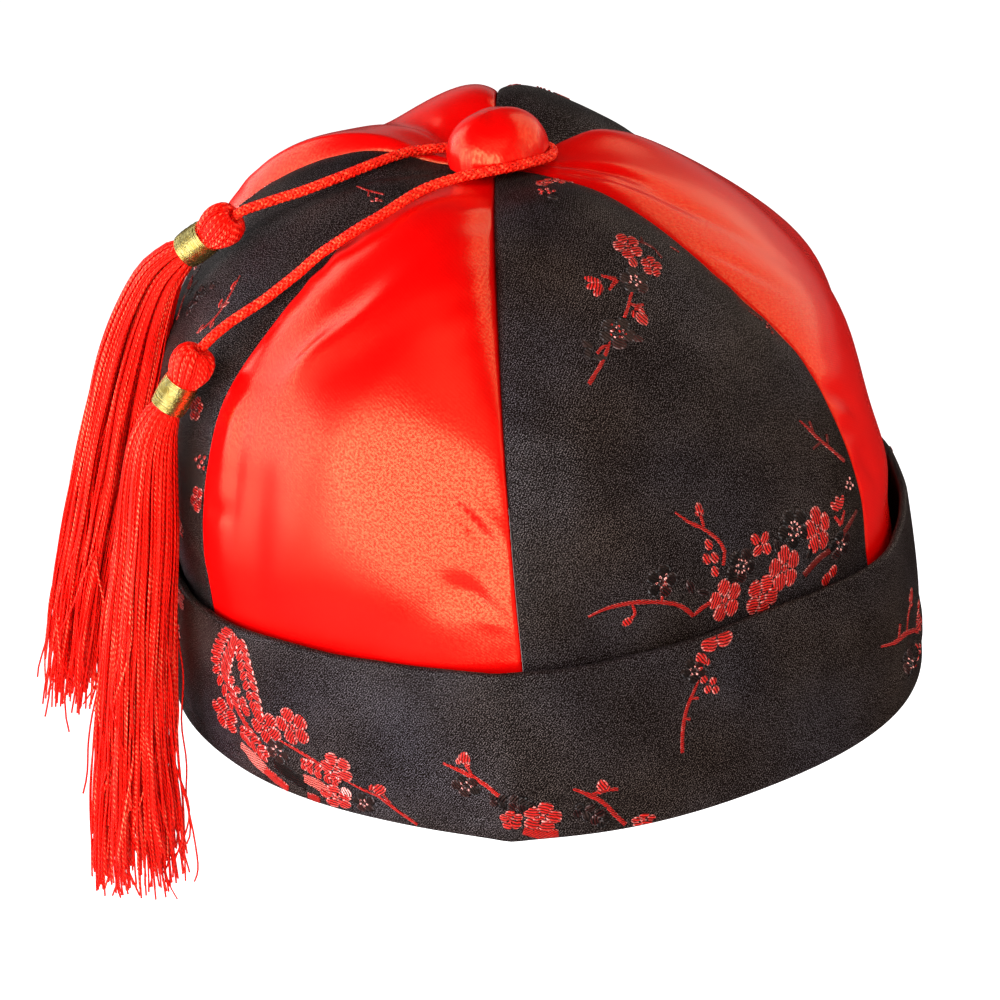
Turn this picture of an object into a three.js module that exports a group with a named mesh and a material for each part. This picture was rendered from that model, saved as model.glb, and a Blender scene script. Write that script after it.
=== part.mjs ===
// Mandarin costume hat: six puffed gores, red satin and black brocade by turns, a brocade
// cuff turned up round them, a covered button on top, and a cord looped round the button
// whose two ends carry tassels.
// Millimetres, +Z up. The origin is the centre of the head opening, in the plane of the rim.
// An azimuth is in degrees from the front (-Y) towards +X.

import * as THREE from 'three';

// ---- Driving sizes ----

const CLOTH = 1.6; // satin or brocade with its backing
const CROWN_HEIGHT = 141; // at the hole under the button
const MEAN_RADIUS = 93; // the crown's sections become round, at this radius, towards the top
const GORE_START = 3; // height at which the gores begin, inside the cuff's fold
const PUFF_POWER = 0.62; // under 1 the cloth leaves a seam steeply and is broad on top

const CUFF_HEIGHT = 44.5;
const CUFF_WALL = 2.4; // two plies of brocade with a stiff one between them
const CUFF_FOLD = 0.9; // how far its pressed folds are rounded
const HEM_HEIGHT = 12; // the cuff's cloth turned up inside the gores
const HEM_WALL = 1.4;

const GAP = 0.4; // between pieces that touch
const CUFF_GAP = 0.8; // between the gores and the cuff's cloth on both sides of them
const SEAM_GAP = 0.3; // between two gores

const BUTTON = { radius: 13.2, base: 145.4, edge: 1.6, dome: 10.8 }; // domed, cloth covered
const SHANK_RADIUS = 3.1; // the threads that hold the button
const KNOT = { radius: 6, thick: 1.6, round: 0.5 }; // their end, inside the crown

const CORD_DIAMETER = 2.8;
const HEAD = { radius: 5.8, length: 9, end: 3.6 }; // a tassel's ball of wound thread
const BAND = { radius: 4.9, length: 8.6, end: 4.4 }; // gold thread wound below it
const SKIRT_START = 0.7; // from a band's end to its skirt
const SKIRT_NECK = 4; // length over which a skirt is still as narrow as its band

const RED = 0xe81208;
const BLACK = 0x26262b;
const GOLD = 0xd9b45a;

// The outline seen from above, every 30 degrees: the crown's radius where the cuff ends,
// the cuff's radius at the rim and at its top edge, and how far the shoulder of the crown
// there is fuller (times) and higher (mm) than the plain section.
const OUTLINE = [
  { azimuth: 0, crown: 95, rim: 101, cuffTop: 98, fullness: 1.0, lift: 0 },
  { azimuth: 30, crown: 93, rim: 101.5, cuffTop: 96, fullness: 1.0, lift: 0 },
  { azimuth: 60, crown: 98.5, rim: 105.5, cuffTop: 102.5, fullness: 0.993, lift: -1.8 },
  { azimuth: 90, crown: 94, rim: 101.5, cuffTop: 100.5, fullness: 1.017, lift: -1.7 },
  { azimuth: 120, crown: 92, rim: 99, cuffTop: 100.5, fullness: 1.086, lift: 0.5 },
  { azimuth: 150, crown: 92, rim: 98.5, cuffTop: 97, fullness: 0.925, lift: 8.4 },
  { azimuth: 180, crown: 92.5, rim: 98.5, cuffTop: 96, fullness: 1.03, lift: 17 },
  { azimuth: 210, crown: 93, rim: 99, cuffTop: 96.5, fullness: 1.08, lift: 8.7 },
  { azimuth: 240, crown: 93, rim: 100, cuffTop: 97, fullness: 1.135, lift: 10.5 },
  { azimuth: 270, crown: 94, rim: 100, cuffTop: 97.5, fullness: 1.1, lift: 5 },
  { azimuth: 300, crown: 93, rim: 95.5, cuffTop: 96.5, fullness: 1.02, lift: 0 },
  { azimuth: 330, crown: 89.5, rim: 95, cuffTop: 92.5, fullness: 1.0, lift: 0 },
];

// The crown's section up the seams and up the middle of a gore: shares of the outline's
// radius, heights, how far the section lies to the front, and how much of the shoulder's
// fullness and lift it takes.
const SECTIONS = [
  { at: 'rim', seam: 1.0, seamZ: 3, middle: 1.0, middleZ: 3, forward: 0, give: 0 },
  { at: 'cuff', seam: 1.0, seamZ: 24, middle: 1.0, middleZ: 24, forward: 0, give: 0 },
  { at: 'cuff top', seam: 1.0, seamZ: 44.5, middle: 1.0, middleZ: 44.5, forward: 0, give: 0 },
  { at: 'side', seam: 1.0, seamZ: 62, middle: 1.015, middleZ: 62.5, forward: 0, give: 0.1 },
  { at: 'high side', seam: 0.955, seamZ: 81, middle: 0.975, middleZ: 82.5, forward: 0.5, give: 0.35 },
  { at: 'shoulder', seam: 0.86, seamZ: 100, middle: 0.9, middleZ: 101.5, forward: 1.5, give: 0.7 },
  { at: 'turn', seam: 0.68, seamZ: 116, middle: 0.75, middleZ: 119.5, forward: 2.5, give: 1 },
  { at: 'top', seam: 0.5, seamZ: 128, middle: 0.57, middleZ: 134, forward: 3.5, give: 1 },
  { at: 'inner top', seam: 0.32, seamZ: 137, middle: 0.37, middleZ: 141.5, forward: 4, give: 0.7 },
  { at: 'dimple', seam: 0.16, seamZ: 140, middle: 0.18, middleZ: 141.8, forward: 4, give: 0.15 },
  { at: 'hole', seam: 0.042, seamZ: 141, middle: 0.042, middleZ: 141, forward: 4, give: 0 },
];
const BUTTON_Y = -4; // the crown's hole lies as far to the front as its last section

// Gores between their two seams. Puff is how far the middle stands out, 1 being the section's.
const GORES = [
  { name: 'gore_black_front_right', from: -3.5, to: 59, puff: 1.0, cloth: 'brocade' },
  { name: 'gore_red_right', from: 59, to: 128, puff: 0.63, cloth: 'satin' },
  { name: 'gore_black_back_right', from: 128, to: 176, puff: 0.84, cloth: 'brocade' },
  { name: 'gore_red_back_left', from: 176, to: 246.5, puff: 0.6, cloth: 'satin' },
  { name: 'gore_black_left', from: 246.5, to: 296.6, puff: 0.57, cloth: 'brocade' },
  { name: 'gore_red_front_left', from: 296.6, to: 356.5, puff: 1.0, cloth: 'satin' },
];

// The main folds. Across is 0 to 1 from a gore's first seam to its second, up counts the
// sections, run is the fold's direction in degrees from level, and the rest is in mm.
const FOLDS = [
  { gore: 'gore_red_front_left', across: 0.34, up: 6.4, run: 38, long: 26, wide: 7, deep: -1.6 },
  { gore: 'gore_red_front_left', across: 0.24, up: 3.6, run: 84, long: 20, wide: 7, deep: -1.8 },
  { gore: 'gore_red_front_left', across: 0.9, up: 3.2, run: 28, long: 11, wide: 5, deep: -1.5 },
  { gore: 'gore_red_right', across: 0.3, up: 8.1, run: 70, long: 18, wide: 5, deep: -1.4 },
  { gore: 'gore_red_right', across: 0.62, up: 5.2, run: 60, long: 22, wide: 8, deep: -1.4 },
  { gore: 'gore_red_right', across: 0.69, up: 3.4, run: 0, long: 45, wide: 14, deep: -3.4 },
  { gore: 'gore_red_right', across: 0.86, up: 8, run: 0, long: 22, wide: 16, deep: 3 },
  { gore: 'gore_red_back_left', across: 0.5, up: 7.8, run: 80, long: 14, wide: 8, deep: -2.2 },
  { gore: 'gore_red_back_left', across: 0.98, up: 6.5, run: 75, long: 46, wide: 17.5, deep: 4.3 },
  { gore: 'gore_black_left', across: 0.5, up: 7.4, run: 75, long: 20, wide: 7, deep: -1.6 },
];
const GORE_WIDTH = 92; // mm that one unit of a fold's across stands for
const SECTION_RISE = 18; // mm that one unit of a fold's up stands for

// The cord's two ends, as points on its centre line, from behind the button to each tassel.
const CORD_ROUTES = {
  cord_left: [
    [-1.8, 3, 143.6], [-5.8, 4.6, 143.6], [-10.6, 5.2, 144.4], [-15.2, 4.2, 144.9],
    [-18.7, 3.8, 145], [-21.8, 2.6, 145.2], [-25.1, 0.5, 145.3], [-29, -1.9, 145.1],
    [-34.2, -4.6, 144.5], [-39.4, -6.6, 143.6], [-44.6, -8, 142.6], [-49.9, -9, 141.5],
    [-55.1, -9.6, 140.6], [-60, -10.5, 139.8], [-64.2, -11, 138.9], [-66.7, -10.4, 137.5],
  ],
  cord_front: [
    [1.8, 3.4, 143.6], [6.2, 4.4, 143.6], [10.6, 3.4, 143.6], [14, 0.6, 143.6],
    [15, -3.6, 143.8], [14.4, -7.8, 144.2], [12.4, -11.7, 144.8], [9.2, -14.9, 145.4],
    [5.2, -17, 145.5], [1, -17.9, 145.4], [-4, -18.4, 145.1], [-9.2, -19.2, 144.8],
    [-14.3, -20.8, 144.4], [-19.4, -23.6, 143.8], [-24.6, -27.6, 142.6], [-29.8, -30.4, 140.8],
    [-35.1, -31.4, 138.6], [-40.5, -31, 135.5], [-46, -30, 132], [-51.4, -29.6, 127.8],
    [-56.8, -29.2, 124], [-61.1, -29.4, 121.2], [-66, -30.2, 118.8], [-70.4, -31.3, 116.7],
    [-74.9, -33, 114.1], [-77.8, -33.9, 111.8],
  ],
};
const CORD_SIDES = 8;
const CORD_STEPS = { cord_left: 18, cord_front: 34 };

// Each tassel: the centre of its head, the way its head and band point, and its skirt below
// the band as rows of centre, width across the view from the front, and thickness.
const TASSELS = [
  {
    name: 'left',
    head: [-70.6, -9, 134.6],
    points: [-0.78, 0.28, -0.56],
    skirt: [
      { x: -89.2, y: -3.2, z: 119.6, wide: 12.5, thick: 9.5 },
      { x: -95.4, y: -1, z: 108.6, wide: 14, thick: 10.5 },
      { x: -100.8, y: 1, z: 95.8, wide: 15.5, thick: 11 },
      { x: -104.8, y: 2, z: 82, wide: 17, thick: 12 },
      { x: -109.2, y: 2, z: 66, wide: 18.5, thick: 13 },
      { x: -113.6, y: 2, z: 50, wide: 19.5, thick: 14 },
      { x: -118.2, y: 2, z: 34, wide: 20.5, thick: 15 },
      { x: -122, y: 2, z: 18, wide: 21.5, thick: 15 },
      { x: -125, y: 2, z: 2, wide: 20, thick: 14 },
      { x: -125.6, y: 2, z: -3, wide: 14, thick: 10 },
    ],
  },
  {
    name: 'front',
    head: [-80.8, -34, 107.6],
    points: [-0.57, 0.0, -0.82],
    skirt: [
      { x: -93.4, y: -34.6, z: 87, wide: 12.5, thick: 10 },
      { x: -95.8, y: -36, z: 76, wide: 14.5, thick: 11.5 },
      { x: -98.2, y: -37.4, z: 62, wide: 16, thick: 12.5 },
      { x: -101.6, y: -38.2, z: 45.5, wide: 17.5, thick: 13.5 },
      { x: -104.6, y: -38.5, z: 30, wide: 19, thick: 14.5 },
      { x: -107.2, y: -38.5, z: 14, wide: 20.5, thick: 15 },
      { x: -109.6, y: -38.5, z: -2, wide: 22, thick: 16 },
      { x: -111.6, y: -38.5, z: -18, wide: 24, thick: 16.5 },
      { x: -113, y: -38.5, z: -34, wide: 23, thick: 16 },
      { x: -113.3, y: -38.5, z: -39, wide: 15, thick: 11 },
    ],
  },
];

// ---- Materials ----

const CLOTHS = {
  satin: new THREE.MeshStandardMaterial({ color: RED, roughness: 0.32, metalness: 0 }),
  brocade: new THREE.MeshStandardMaterial({ color: BLACK, roughness: 0.55, metalness: 0 }),
  cord: new THREE.MeshStandardMaterial({ color: RED, roughness: 0.55, metalness: 0 }),
  thread: new THREE.MeshStandardMaterial({ color: RED, roughness: 0.45, metalness: 0 }),
  gold: new THREE.MeshStandardMaterial({ color: GOLD, roughness: 0.3, metalness: 1 }),
};

// ---- Shape helpers ----

const radians = THREE.MathUtils.degToRad;
const mix = THREE.MathUtils.lerp;

function catmullRom(share, before, start, end, after) {
  const slopeIn = (end - before) / 2;
  const slopeOut = (after - start) / 2;
  const square = share * share;
  const cube = square * share;
  return (
    start +
    slopeIn * share +
    (3 * (end - start) - 2 * slopeIn - slopeOut) * square +
    (2 * (start - end) + slopeIn + slopeOut) * cube
  );
}

// The row at a place between rows, every numeric column on a smooth curve. A round table
// comes back to its first row.
function rowAt(rows, place, round = false) {
  const last = rows.length - 1;
  const index = round ? Math.floor(place) : Math.min(Math.floor(place), last - 1);
  const share = place - index;
  const pick = (k) => {
    if (round) return rows[((k % rows.length) + rows.length) % rows.length];
    return rows[THREE.MathUtils.clamp(k, 0, last)];
  };
  const blended = {};
  for (const column of Object.keys(rows[0])) {
    if (typeof rows[0][column] !== 'number') continue;
    const values = [-1, 0, 1, 2].map((step) => pick(index + step)[column]);
    blended[column] = catmullRom(share, ...values);
  }
  return blended;
}

function outlineAt(azimuth) {
  return rowAt(OUTLINE, (azimuth / 360) * OUTLINE.length, true);
}

function polar(azimuth, radius, height, forward = 0) {
  const angle = radians(azimuth);
  return new THREE.Vector3(radius * Math.sin(angle), -forward - radius * Math.cos(angle), height);
}

// A closed body from loops of points, one loop after another: either a ring, whose last
// loop meets its first, or a stack with a flat lid at each end.
function bodyFromLoops(loops, ring) {
  const size = loops[0].length;
  const positions = loops.flat().flatMap((point) => point.toArray());
  const triangles = [];
  const quad = (a, b, c, d) => triangles.push(a, b, c, a, c, d);
  const spans = ring ? loops.length : loops.length - 1;
  for (let row = 0; row < spans; row += 1) {
    const here = row * size;
    const next = ((row + 1) % loops.length) * size;
    for (let i = 0; i < size; i += 1) {
      const j = (i + 1) % size;
      quad(here + i, here + j, next + j, next + i);
    }
  }
  if (!ring) {
    const top = (loops.length - 1) * size;
    for (let i = 0; i < size / 2 - 1; i += 1) {
      const mirror = size - 1 - i;
      quad(i, mirror, mirror - 1, i + 1);
      quad(top + i, top + i + 1, top + mirror - 1, top + mirror);
    }
  }
  const geometry = new THREE.BufferGeometry();
  geometry.setAttribute('position', new THREE.Float32BufferAttribute(positions, 3));
  geometry.setIndex(triangles);
  geometry.computeVertexNormals();
  return geometry;
}

// ---- Crown ----

// The crown's radius at a height where it follows the outline: straight from the rim up to
// the cuff's top edge, then slowly to the round mean.
function crownRadius(outline, height) {
  if (height < CUFF_HEIGHT) {
    const rim = outline.rim - CUFF_WALL - CUFF_GAP;
    return mix(rim, outline.crown, height / CUFF_HEIGHT);
  }
  const faded = Math.min((height - CUFF_HEIGHT) / (CROWN_HEIGHT - CUFF_HEIGHT), 1);
  return mix(outline.crown, MEAN_RADIUS, faded);
}

function foldDepth(gore, across, up) {
  let depth = 0;
  for (const fold of FOLDS) {
    if (fold.gore !== gore.name) continue;
    const level = (across - fold.across) * GORE_WIDTH;
    const rise = (up - fold.up) * SECTION_RISE;
    const angle = radians(fold.run);
    const along = level * Math.cos(angle) + rise * Math.sin(angle);
    const beside = rise * Math.cos(angle) - level * Math.sin(angle);
    depth += fold.deep * Math.exp(-((along / fold.long) ** 2) - (beside / fold.wide) ** 2);
  }
  return depth;
}

// A point on the outside of a gore before its folds are pressed in.
function plainGorePoint(gore, across, up) {
  const section = rowAt(SECTIONS, up);
  const puff = gore.puff * (4 * across * (1 - across)) ** PUFF_POWER;
  const share = mix(section.seam, section.middle, puff);
  const height = mix(section.seamZ, section.middleZ, puff);
  const inset = THREE.MathUtils.radToDeg(SEAM_GAP / 2 / (share * MEAN_RADIUS));
  const azimuth = mix(gore.from + inset, gore.to - inset, across);
  const outline = outlineAt(azimuth);
  const fuller = 1 + (outline.fullness - 1) * section.give;
  const radius = share * crownRadius(outline, height) * fuller;
  return polar(azimuth, radius, height + section.give * outline.lift, section.forward);
}

// The way out of the cloth, within the upright plane through the point and the crown's axis.
function gorePoint(gore, across, up, inward) {
  const step = 0.02;
  const last = SECTIONS.length - 1;
  const below = plainGorePoint(gore, across, Math.max(up - step, 0));
  const above = plainGorePoint(gore, across, Math.min(up + step, last));
  const azimuth = radians(mix(gore.from, gore.to, across));
  const sideways = new THREE.Vector3(Math.cos(azimuth), Math.sin(azimuth), 0);
  const outward = new THREE.Vector3().crossVectors(sideways, above.sub(below)).normalize();
  const seamMask = Math.min(1, 12 * across * (1 - across));
  const depth = foldDepth(gore, across, up) * seamMask - inward;
  return plainGorePoint(gore, across, up).addScaledVector(outward, depth);
}

function goreGeometry(gore) {
  const columns = 10;
  const rows = 20;
  const loops = [];
  for (let row = 0; row <= rows; row += 1) {
    const up = (row / rows) * (SECTIONS.length - 1);
    const outside = [];
    const inside = [];
    for (let column = 0; column <= columns; column += 1) {
      // columns stand closer together at the seams, where the cloth turns fastest
      const across = (1 - Math.cos((column / columns) * Math.PI)) / 2;
      outside.push(gorePoint(gore, across, up, 0));
      inside.push(gorePoint(gore, across, up, CLOTH));
    }
    loops.push([...outside, ...inside.reverse()]);
  }
  return bodyFromLoops(loops, false);
}

// ---- Cuff ----

// The cuff's section, from the rim's fold up the outside, over the pressed top fold, down
// the inside, under the gores and up the short hem inside them.
function cuffSection(azimuth) {
  const outline = outlineAt(azimuth);
  const outside = (height) => mix(outline.rim, outline.cuffTop, height / CUFF_HEIGHT);
  const inside = (height) => outside(height) - CUFF_WALL;
  const hem = (height) => crownRadius(outline, height) - CLOTH - CUFF_GAP;
  const underGores = GORE_START - CUFF_GAP;
  const shoulder = CUFF_HEIGHT - CUFF_FOLD;
  const almostTop = CUFF_HEIGHT - CUFF_FOLD / 3;
  const corner = (2 / 3) * CUFF_FOLD;
  const levels = [0.25, 0.5, 0.75].map((share) => share * CUFF_HEIGHT);
  const profile = [
    [outside(0) - CUFF_FOLD, 0],
    [outside(0), CUFF_FOLD],
    ...levels.map((height) => [outside(height), height]),
    [outside(shoulder), shoulder],
    [outside(CUFF_HEIGHT) - corner, almostTop],
    [outside(CUFF_HEIGHT) - CUFF_WALL / 2, CUFF_HEIGHT],
    [inside(CUFF_HEIGHT) + corner, almostTop],
    [inside(shoulder), shoulder],
    [inside(CUFF_HEIGHT / 2), CUFF_HEIGHT / 2],
    [inside(underGores), underGores],
    [hem(underGores), underGores],
    [hem(HEM_HEIGHT), HEM_HEIGHT],
    [hem(HEM_HEIGHT) - HEM_WALL, HEM_HEIGHT],
    [hem(0) - HEM_WALL, CUFF_FOLD],
    [hem(0) - HEM_WALL + CUFF_FOLD, 0],
  ];
  return profile.map(([radius, height]) => polar(azimuth, radius, height));
}

function cuffGeometry() {
  const steps = 60;
  const loops = [];
  for (let step = steps; step > 0; step -= 1) loops.push(cuffSection((step * 360) / steps));
  return bodyFromLoops(loops, true);
}

// ---- Button ----

// A domed, covered button on a thread shank that passes through the crown and ends in a
// flat knot inside it.
function buttonGeometry() {
  const knotTop = CROWN_HEIGHT - CLOTH - GAP;
  const rim = BUTTON.base + BUTTON.edge;
  const profile = [
    new THREE.Vector2(0, knotTop - KNOT.thick),
    new THREE.Vector2(KNOT.radius, knotTop - KNOT.thick),
    new THREE.Vector2(KNOT.radius, knotTop - KNOT.round),
    new THREE.Vector2(SHANK_RADIUS, knotTop),
    new THREE.Vector2(SHANK_RADIUS, BUTTON.base),
    new THREE.Vector2(BUTTON.radius - BUTTON.edge, BUTTON.base),
  ];
  const arcs = 8;
  for (let arc = 0; arc < arcs; arc += 1) {
    const angle = ((arc / arcs) * Math.PI) / 2;
    profile.push(new THREE.Vector2(BUTTON.radius * Math.cos(angle), rim + BUTTON.dome * Math.sin(angle)));
  }
  profile.push(new THREE.Vector2(0, rim + BUTTON.dome));
  return new THREE.LatheGeometry(profile, 28).rotateX(Math.PI / 2);
}

// ---- Cord and tassels ----

function cordGeometry(name) {
  const route = new THREE.CatmullRomCurve3(CORD_ROUTES[name].map((point) => new THREE.Vector3(...point)));
  const section = new THREE.Shape();
  for (let side = 0; side < CORD_SIDES; side += 1) {
    const angle = (side / CORD_SIDES) * 2 * Math.PI;
    const x = (CORD_DIAMETER / 2) * Math.cos(angle);
    const y = (CORD_DIAMETER / 2) * Math.sin(angle);
    if (side === 0) section.moveTo(x, y);
    else section.lineTo(x, y);
  }
  return new THREE.ExtrudeGeometry(section, { steps: CORD_STEPS[name], extrudePath: route });
}

// A barrel round the tassel's axis, from its top at 0 down to its length. Powers under 1
// make its side fuller than an ellipse.
function barrelGeometry({ radius, length, end }) {
  const arcs = 6;
  const fullness = 0.7;
  const profile = [new THREE.Vector2(0, -length)];
  for (let arc = 0; arc <= arcs; arc += 1) {
    const angle = (arc / arcs) * Math.PI - Math.PI / 2;
    const bulge = end + (radius - end) * Math.cos(angle) ** fullness;
    profile.push(new THREE.Vector2(bulge, -length / 2 + (length / 2) * Math.sin(angle)));
  }
  profile.push(new THREE.Vector2(0, 0));
  return new THREE.LatheGeometry(profile, 14);
}

// A loose bundle of strands: ellipses along the rows' smooth centre line, each square to it.
function skirtGeometry(rows) {
  const rings = 16;
  const sides = 14;
  const last = rows.length - 1;
  const centre = (place) => {
    const row = rowAt(rows, THREE.MathUtils.clamp(place, 0, last));
    return new THREE.Vector3(row.x, row.y, row.z);
  };
  const loops = [];
  for (let ring = 0; ring <= rings; ring += 1) {
    const place = (ring / rings) * last;
    const row = rowAt(rows, place);
    const along = centre(place + 0.1).sub(centre(place - 0.1)).normalize();
    const depthways = new THREE.Vector3(0, 1, 0).addScaledVector(along, -along.y).normalize();
    const sideways = new THREE.Vector3().crossVectors(depthways, along);
    const loop = [];
    for (let side = 0; side < sides; side += 1) {
      const angle = ((side + 0.5) / sides) * 2 * Math.PI;
      const point = centre(place);
      point.addScaledVector(sideways, (row.wide / 2) * Math.cos(angle));
      point.addScaledVector(depthways, (row.thick / 2) * Math.sin(angle));
      loop.push(point);
    }
    loops.push(loop);
  }
  return bodyFromLoops(loops, false);
}

// ---- Assembly ----

const hat = new THREE.Group();

function add(parent, name, geometry, material) {
  const piece = new THREE.Mesh(geometry, material);
  piece.name = name;
  parent.add(piece);
  return piece;
}

for (const gore of GORES) {
  add(hat, gore.name, goreGeometry(gore), CLOTHS[gore.cloth]);
}
add(hat, 'cuff', cuffGeometry(), CLOTHS.brocade);
const button = add(hat, 'top_button', buttonGeometry(), CLOTHS.satin);
button.position.y = BUTTON_Y;

for (const name of Object.keys(CORD_ROUTES)) {
  add(hat, name, cordGeometry(name), CLOTHS.cord);
}

for (const tassel of TASSELS) {
  const down = new THREE.Vector3(...tassel.points).normalize();
  const onAxis = (distance) => new THREE.Vector3(...tassel.head).addScaledVector(down, distance);
  const top = new THREE.Group();
  top.position.copy(onAxis(-HEAD.length / 2));
  top.quaternion.setFromUnitVectors(new THREE.Vector3(0, -1, 0), down);
  hat.add(top);
  add(top, `tassel_head_${tassel.name}`, barrelGeometry(HEAD), CLOTHS.thread);
  const band = add(top, `tassel_band_${tassel.name}`, barrelGeometry(BAND), CLOTHS.gold);
  band.position.y = -HEAD.length - GAP;
  const bandEnd = HEAD.length / 2 + GAP + BAND.length;
  const neckRows = [SKIRT_START, SKIRT_NECK].map((distance) => {
    const { x, y, z } = onAxis(bandEnd + distance);
    return { x, y, z, wide: 2 * BAND.end, thick: 2 * BAND.end };
  });
  const skirtShape = skirtGeometry([...neckRows, ...tassel.skirt]);
  add(hat, `tassel_skirt_${tassel.name}`, skirtShape, CLOTHS.thread);
}

export default hat;
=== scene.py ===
# %% [markdown]
# # A mandarin costume hat
#
# The hat is sewn from six puffed gores, red satin and black brocade by turns. A brocade
# cuff is turned up round them, a covered button closes the top, and a cord looped round the
# button's shank carries a long tassel on each end.
#
# The frame comes first. It holds the plain solids at their real size, and every piece made
# here takes its place from them.

# %% Load the frame
import math
import random

import bpy
import numpy as np
from mathutils import Matrix, Vector


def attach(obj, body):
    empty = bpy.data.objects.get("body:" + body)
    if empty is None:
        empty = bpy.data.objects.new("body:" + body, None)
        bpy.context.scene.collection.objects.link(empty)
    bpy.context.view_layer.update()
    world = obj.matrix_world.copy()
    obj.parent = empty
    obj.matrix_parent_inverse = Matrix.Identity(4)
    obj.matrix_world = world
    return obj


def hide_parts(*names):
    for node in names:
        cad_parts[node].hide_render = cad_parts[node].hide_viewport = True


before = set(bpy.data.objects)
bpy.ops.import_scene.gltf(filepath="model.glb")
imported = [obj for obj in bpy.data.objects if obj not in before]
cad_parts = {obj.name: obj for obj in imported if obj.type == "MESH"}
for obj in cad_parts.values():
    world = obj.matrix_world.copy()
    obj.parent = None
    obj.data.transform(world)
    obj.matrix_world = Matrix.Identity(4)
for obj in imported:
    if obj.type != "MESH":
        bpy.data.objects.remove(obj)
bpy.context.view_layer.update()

MM = 0.001
TURN = 2 * math.pi

# %% [markdown]
# ## Camera
# The hat is looked at from the front and a little above, through a long lens, as a shop
# would show it. The camera is turned slightly about its own axis, so the crown leans.

# %% Place the camera
PITCH = math.radians(25)
ROLL = math.radians(5.7)
DISTANCE = 0.95
AIM = (-0.0113, 0.0408)  # what the camera looks at, along its own right and up
LENS = 125.3
SENSOR = 36

forward = Vector((0, math.cos(PITCH), -math.sin(PITCH)))
level = Vector((1, 0, 0))
upright = Vector((0, math.sin(PITCH), math.cos(PITCH)))
right = math.cos(ROLL) * level - math.sin(ROLL) * upright
above = math.sin(ROLL) * level + math.cos(ROLL) * upright

lens = bpy.data.cameras.new("camera")
lens.lens = LENS
lens.sensor_width = SENSOR
camera = bpy.data.objects.new("camera", lens)
bpy.context.collection.objects.link(camera)
turned = Matrix((right, above, -forward)).transposed().to_4x4()
turned.translation = AIM[0] * right + AIM[1] * above - DISTANCE * forward
camera.matrix_world = turned
bpy.context.scene.camera = camera
print("camera at", tuple(round(x, 3) for x in turned.translation))

# %% [markdown]
# ## Small tools for meshes
# Most pieces are worked out as rows of points, so one function turns numpy arrays into an
# object. Every finished object stays at the origin, with its place in its mesh.

# %% Turn points and faces into an object
def add_piece(name, points, faces, material=None, uv=None):
    """A smooth mesh object from points in millimetres, with an optional UV pair per point."""
    mesh = bpy.data.meshes.new(name)
    mesh.from_pydata((np.asarray(points) * MM).tolist(), [], faces)
    mesh.shade_smooth()
    if uv is not None:
        corners = np.empty(len(mesh.loops), int)
        mesh.loops.foreach_get("vertex_index", corners)
        layer = mesh.uv_layers.new(name="cloth")
        layer.uv.foreach_set("vector", (np.asarray(uv) * MM)[corners].ravel().astype("f"))
    piece = bpy.data.objects.new(name, mesh)
    bpy.context.collection.objects.link(piece)
    if material:
        mesh.materials.append(material)
    return piece


def ring_faces(rings, size, closed=False):
    """Quads between rings of points, each ring a closed loop of the same size."""
    faces = []
    for row in range(rings if closed else rings - 1):
        here, there = row * size, (row + 1) % rings * size
        for i in range(size):
            j = (i + 1) % size
            faces.append((here + i, here + j, there + j, there + i))
    return faces


def pole_faces(rings, size):
    """Triangles that close both ends of the rings on two points that come after them."""
    first_pole = rings * size
    last_ring = first_pole - size
    faces = []
    for i in range(size):
        j = (i + 1) % size
        faces.append((first_pole, j, i))
        faces.append((first_pole + 1, last_ring + i, last_ring + j))
    return faces

# %% [markdown]
# A cloth form is easiest to keep as a short table, a row for each section, read on a smooth
# curve between its rows. This is the same curve that the frame's solids follow, so the fine
# surfaces lie on the plain ones.

# %% Read a table on a smooth curve
def table(columns, *rows):
    """Rows of numbers as one array for each named column."""
    return {name: np.array(values, float) for name, values in zip(columns.split(), zip(*rows))}


def smooth(values, place, closed=False):
    """One column read between its rows on a Catmull-Rom curve."""
    last = len(values) - 1
    index = np.floor(place).astype(int)
    if not closed:
        index = np.clip(index, 0, last - 1)
    share = place - index

    def at(step):
        if closed:
            return values[(index + step) % len(values)]
        return values[np.clip(index + step, 0, last)]

    before, start, end, after = (at(step) for step in (-1, 0, 1, 2))
    leaving, arriving = (end - before) / 2, (after - start) / 2
    square = 3 * (end - start) - 2 * leaving - arriving
    cube = 2 * (start - end) + leaving + arriving
    return start + leaving * share + square * share**2 + cube * share**3


def curve_through(points, spots):
    """Places on the smooth curve through a row of points."""
    columns = np.array(points, float).T
    return np.stack([smooth(column, spots) for column in columns], axis=-1)


def walked_along(points):
    """How far along its line each point lies."""
    steps = np.linalg.norm(np.diff(points, axis=0), axis=1)
    return np.concatenate([[0], np.cumsum(steps)])


def mix(start, end, share):
    return start + (end - start) * share


def polar(azimuth, radius, height, ahead=0.0):
    """Points at an azimuth in degrees, 0 in front and 90 at +X, the viewer's right."""
    angle = np.radians(azimuth)
    parts = radius * np.sin(angle), -ahead - radius * np.cos(angle), height + 0 * radius
    return np.stack(np.broadcast_arrays(*parts), axis=-1)

# %% [markdown]
# ## The cord's route
# A free cord is settled before its looks: where it starts, how long it is and what it lies
# on. This is one cord looped round the button's shank. Its two ends start side by side
# behind the button and lie over the gores as far as the two tassels.

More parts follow.
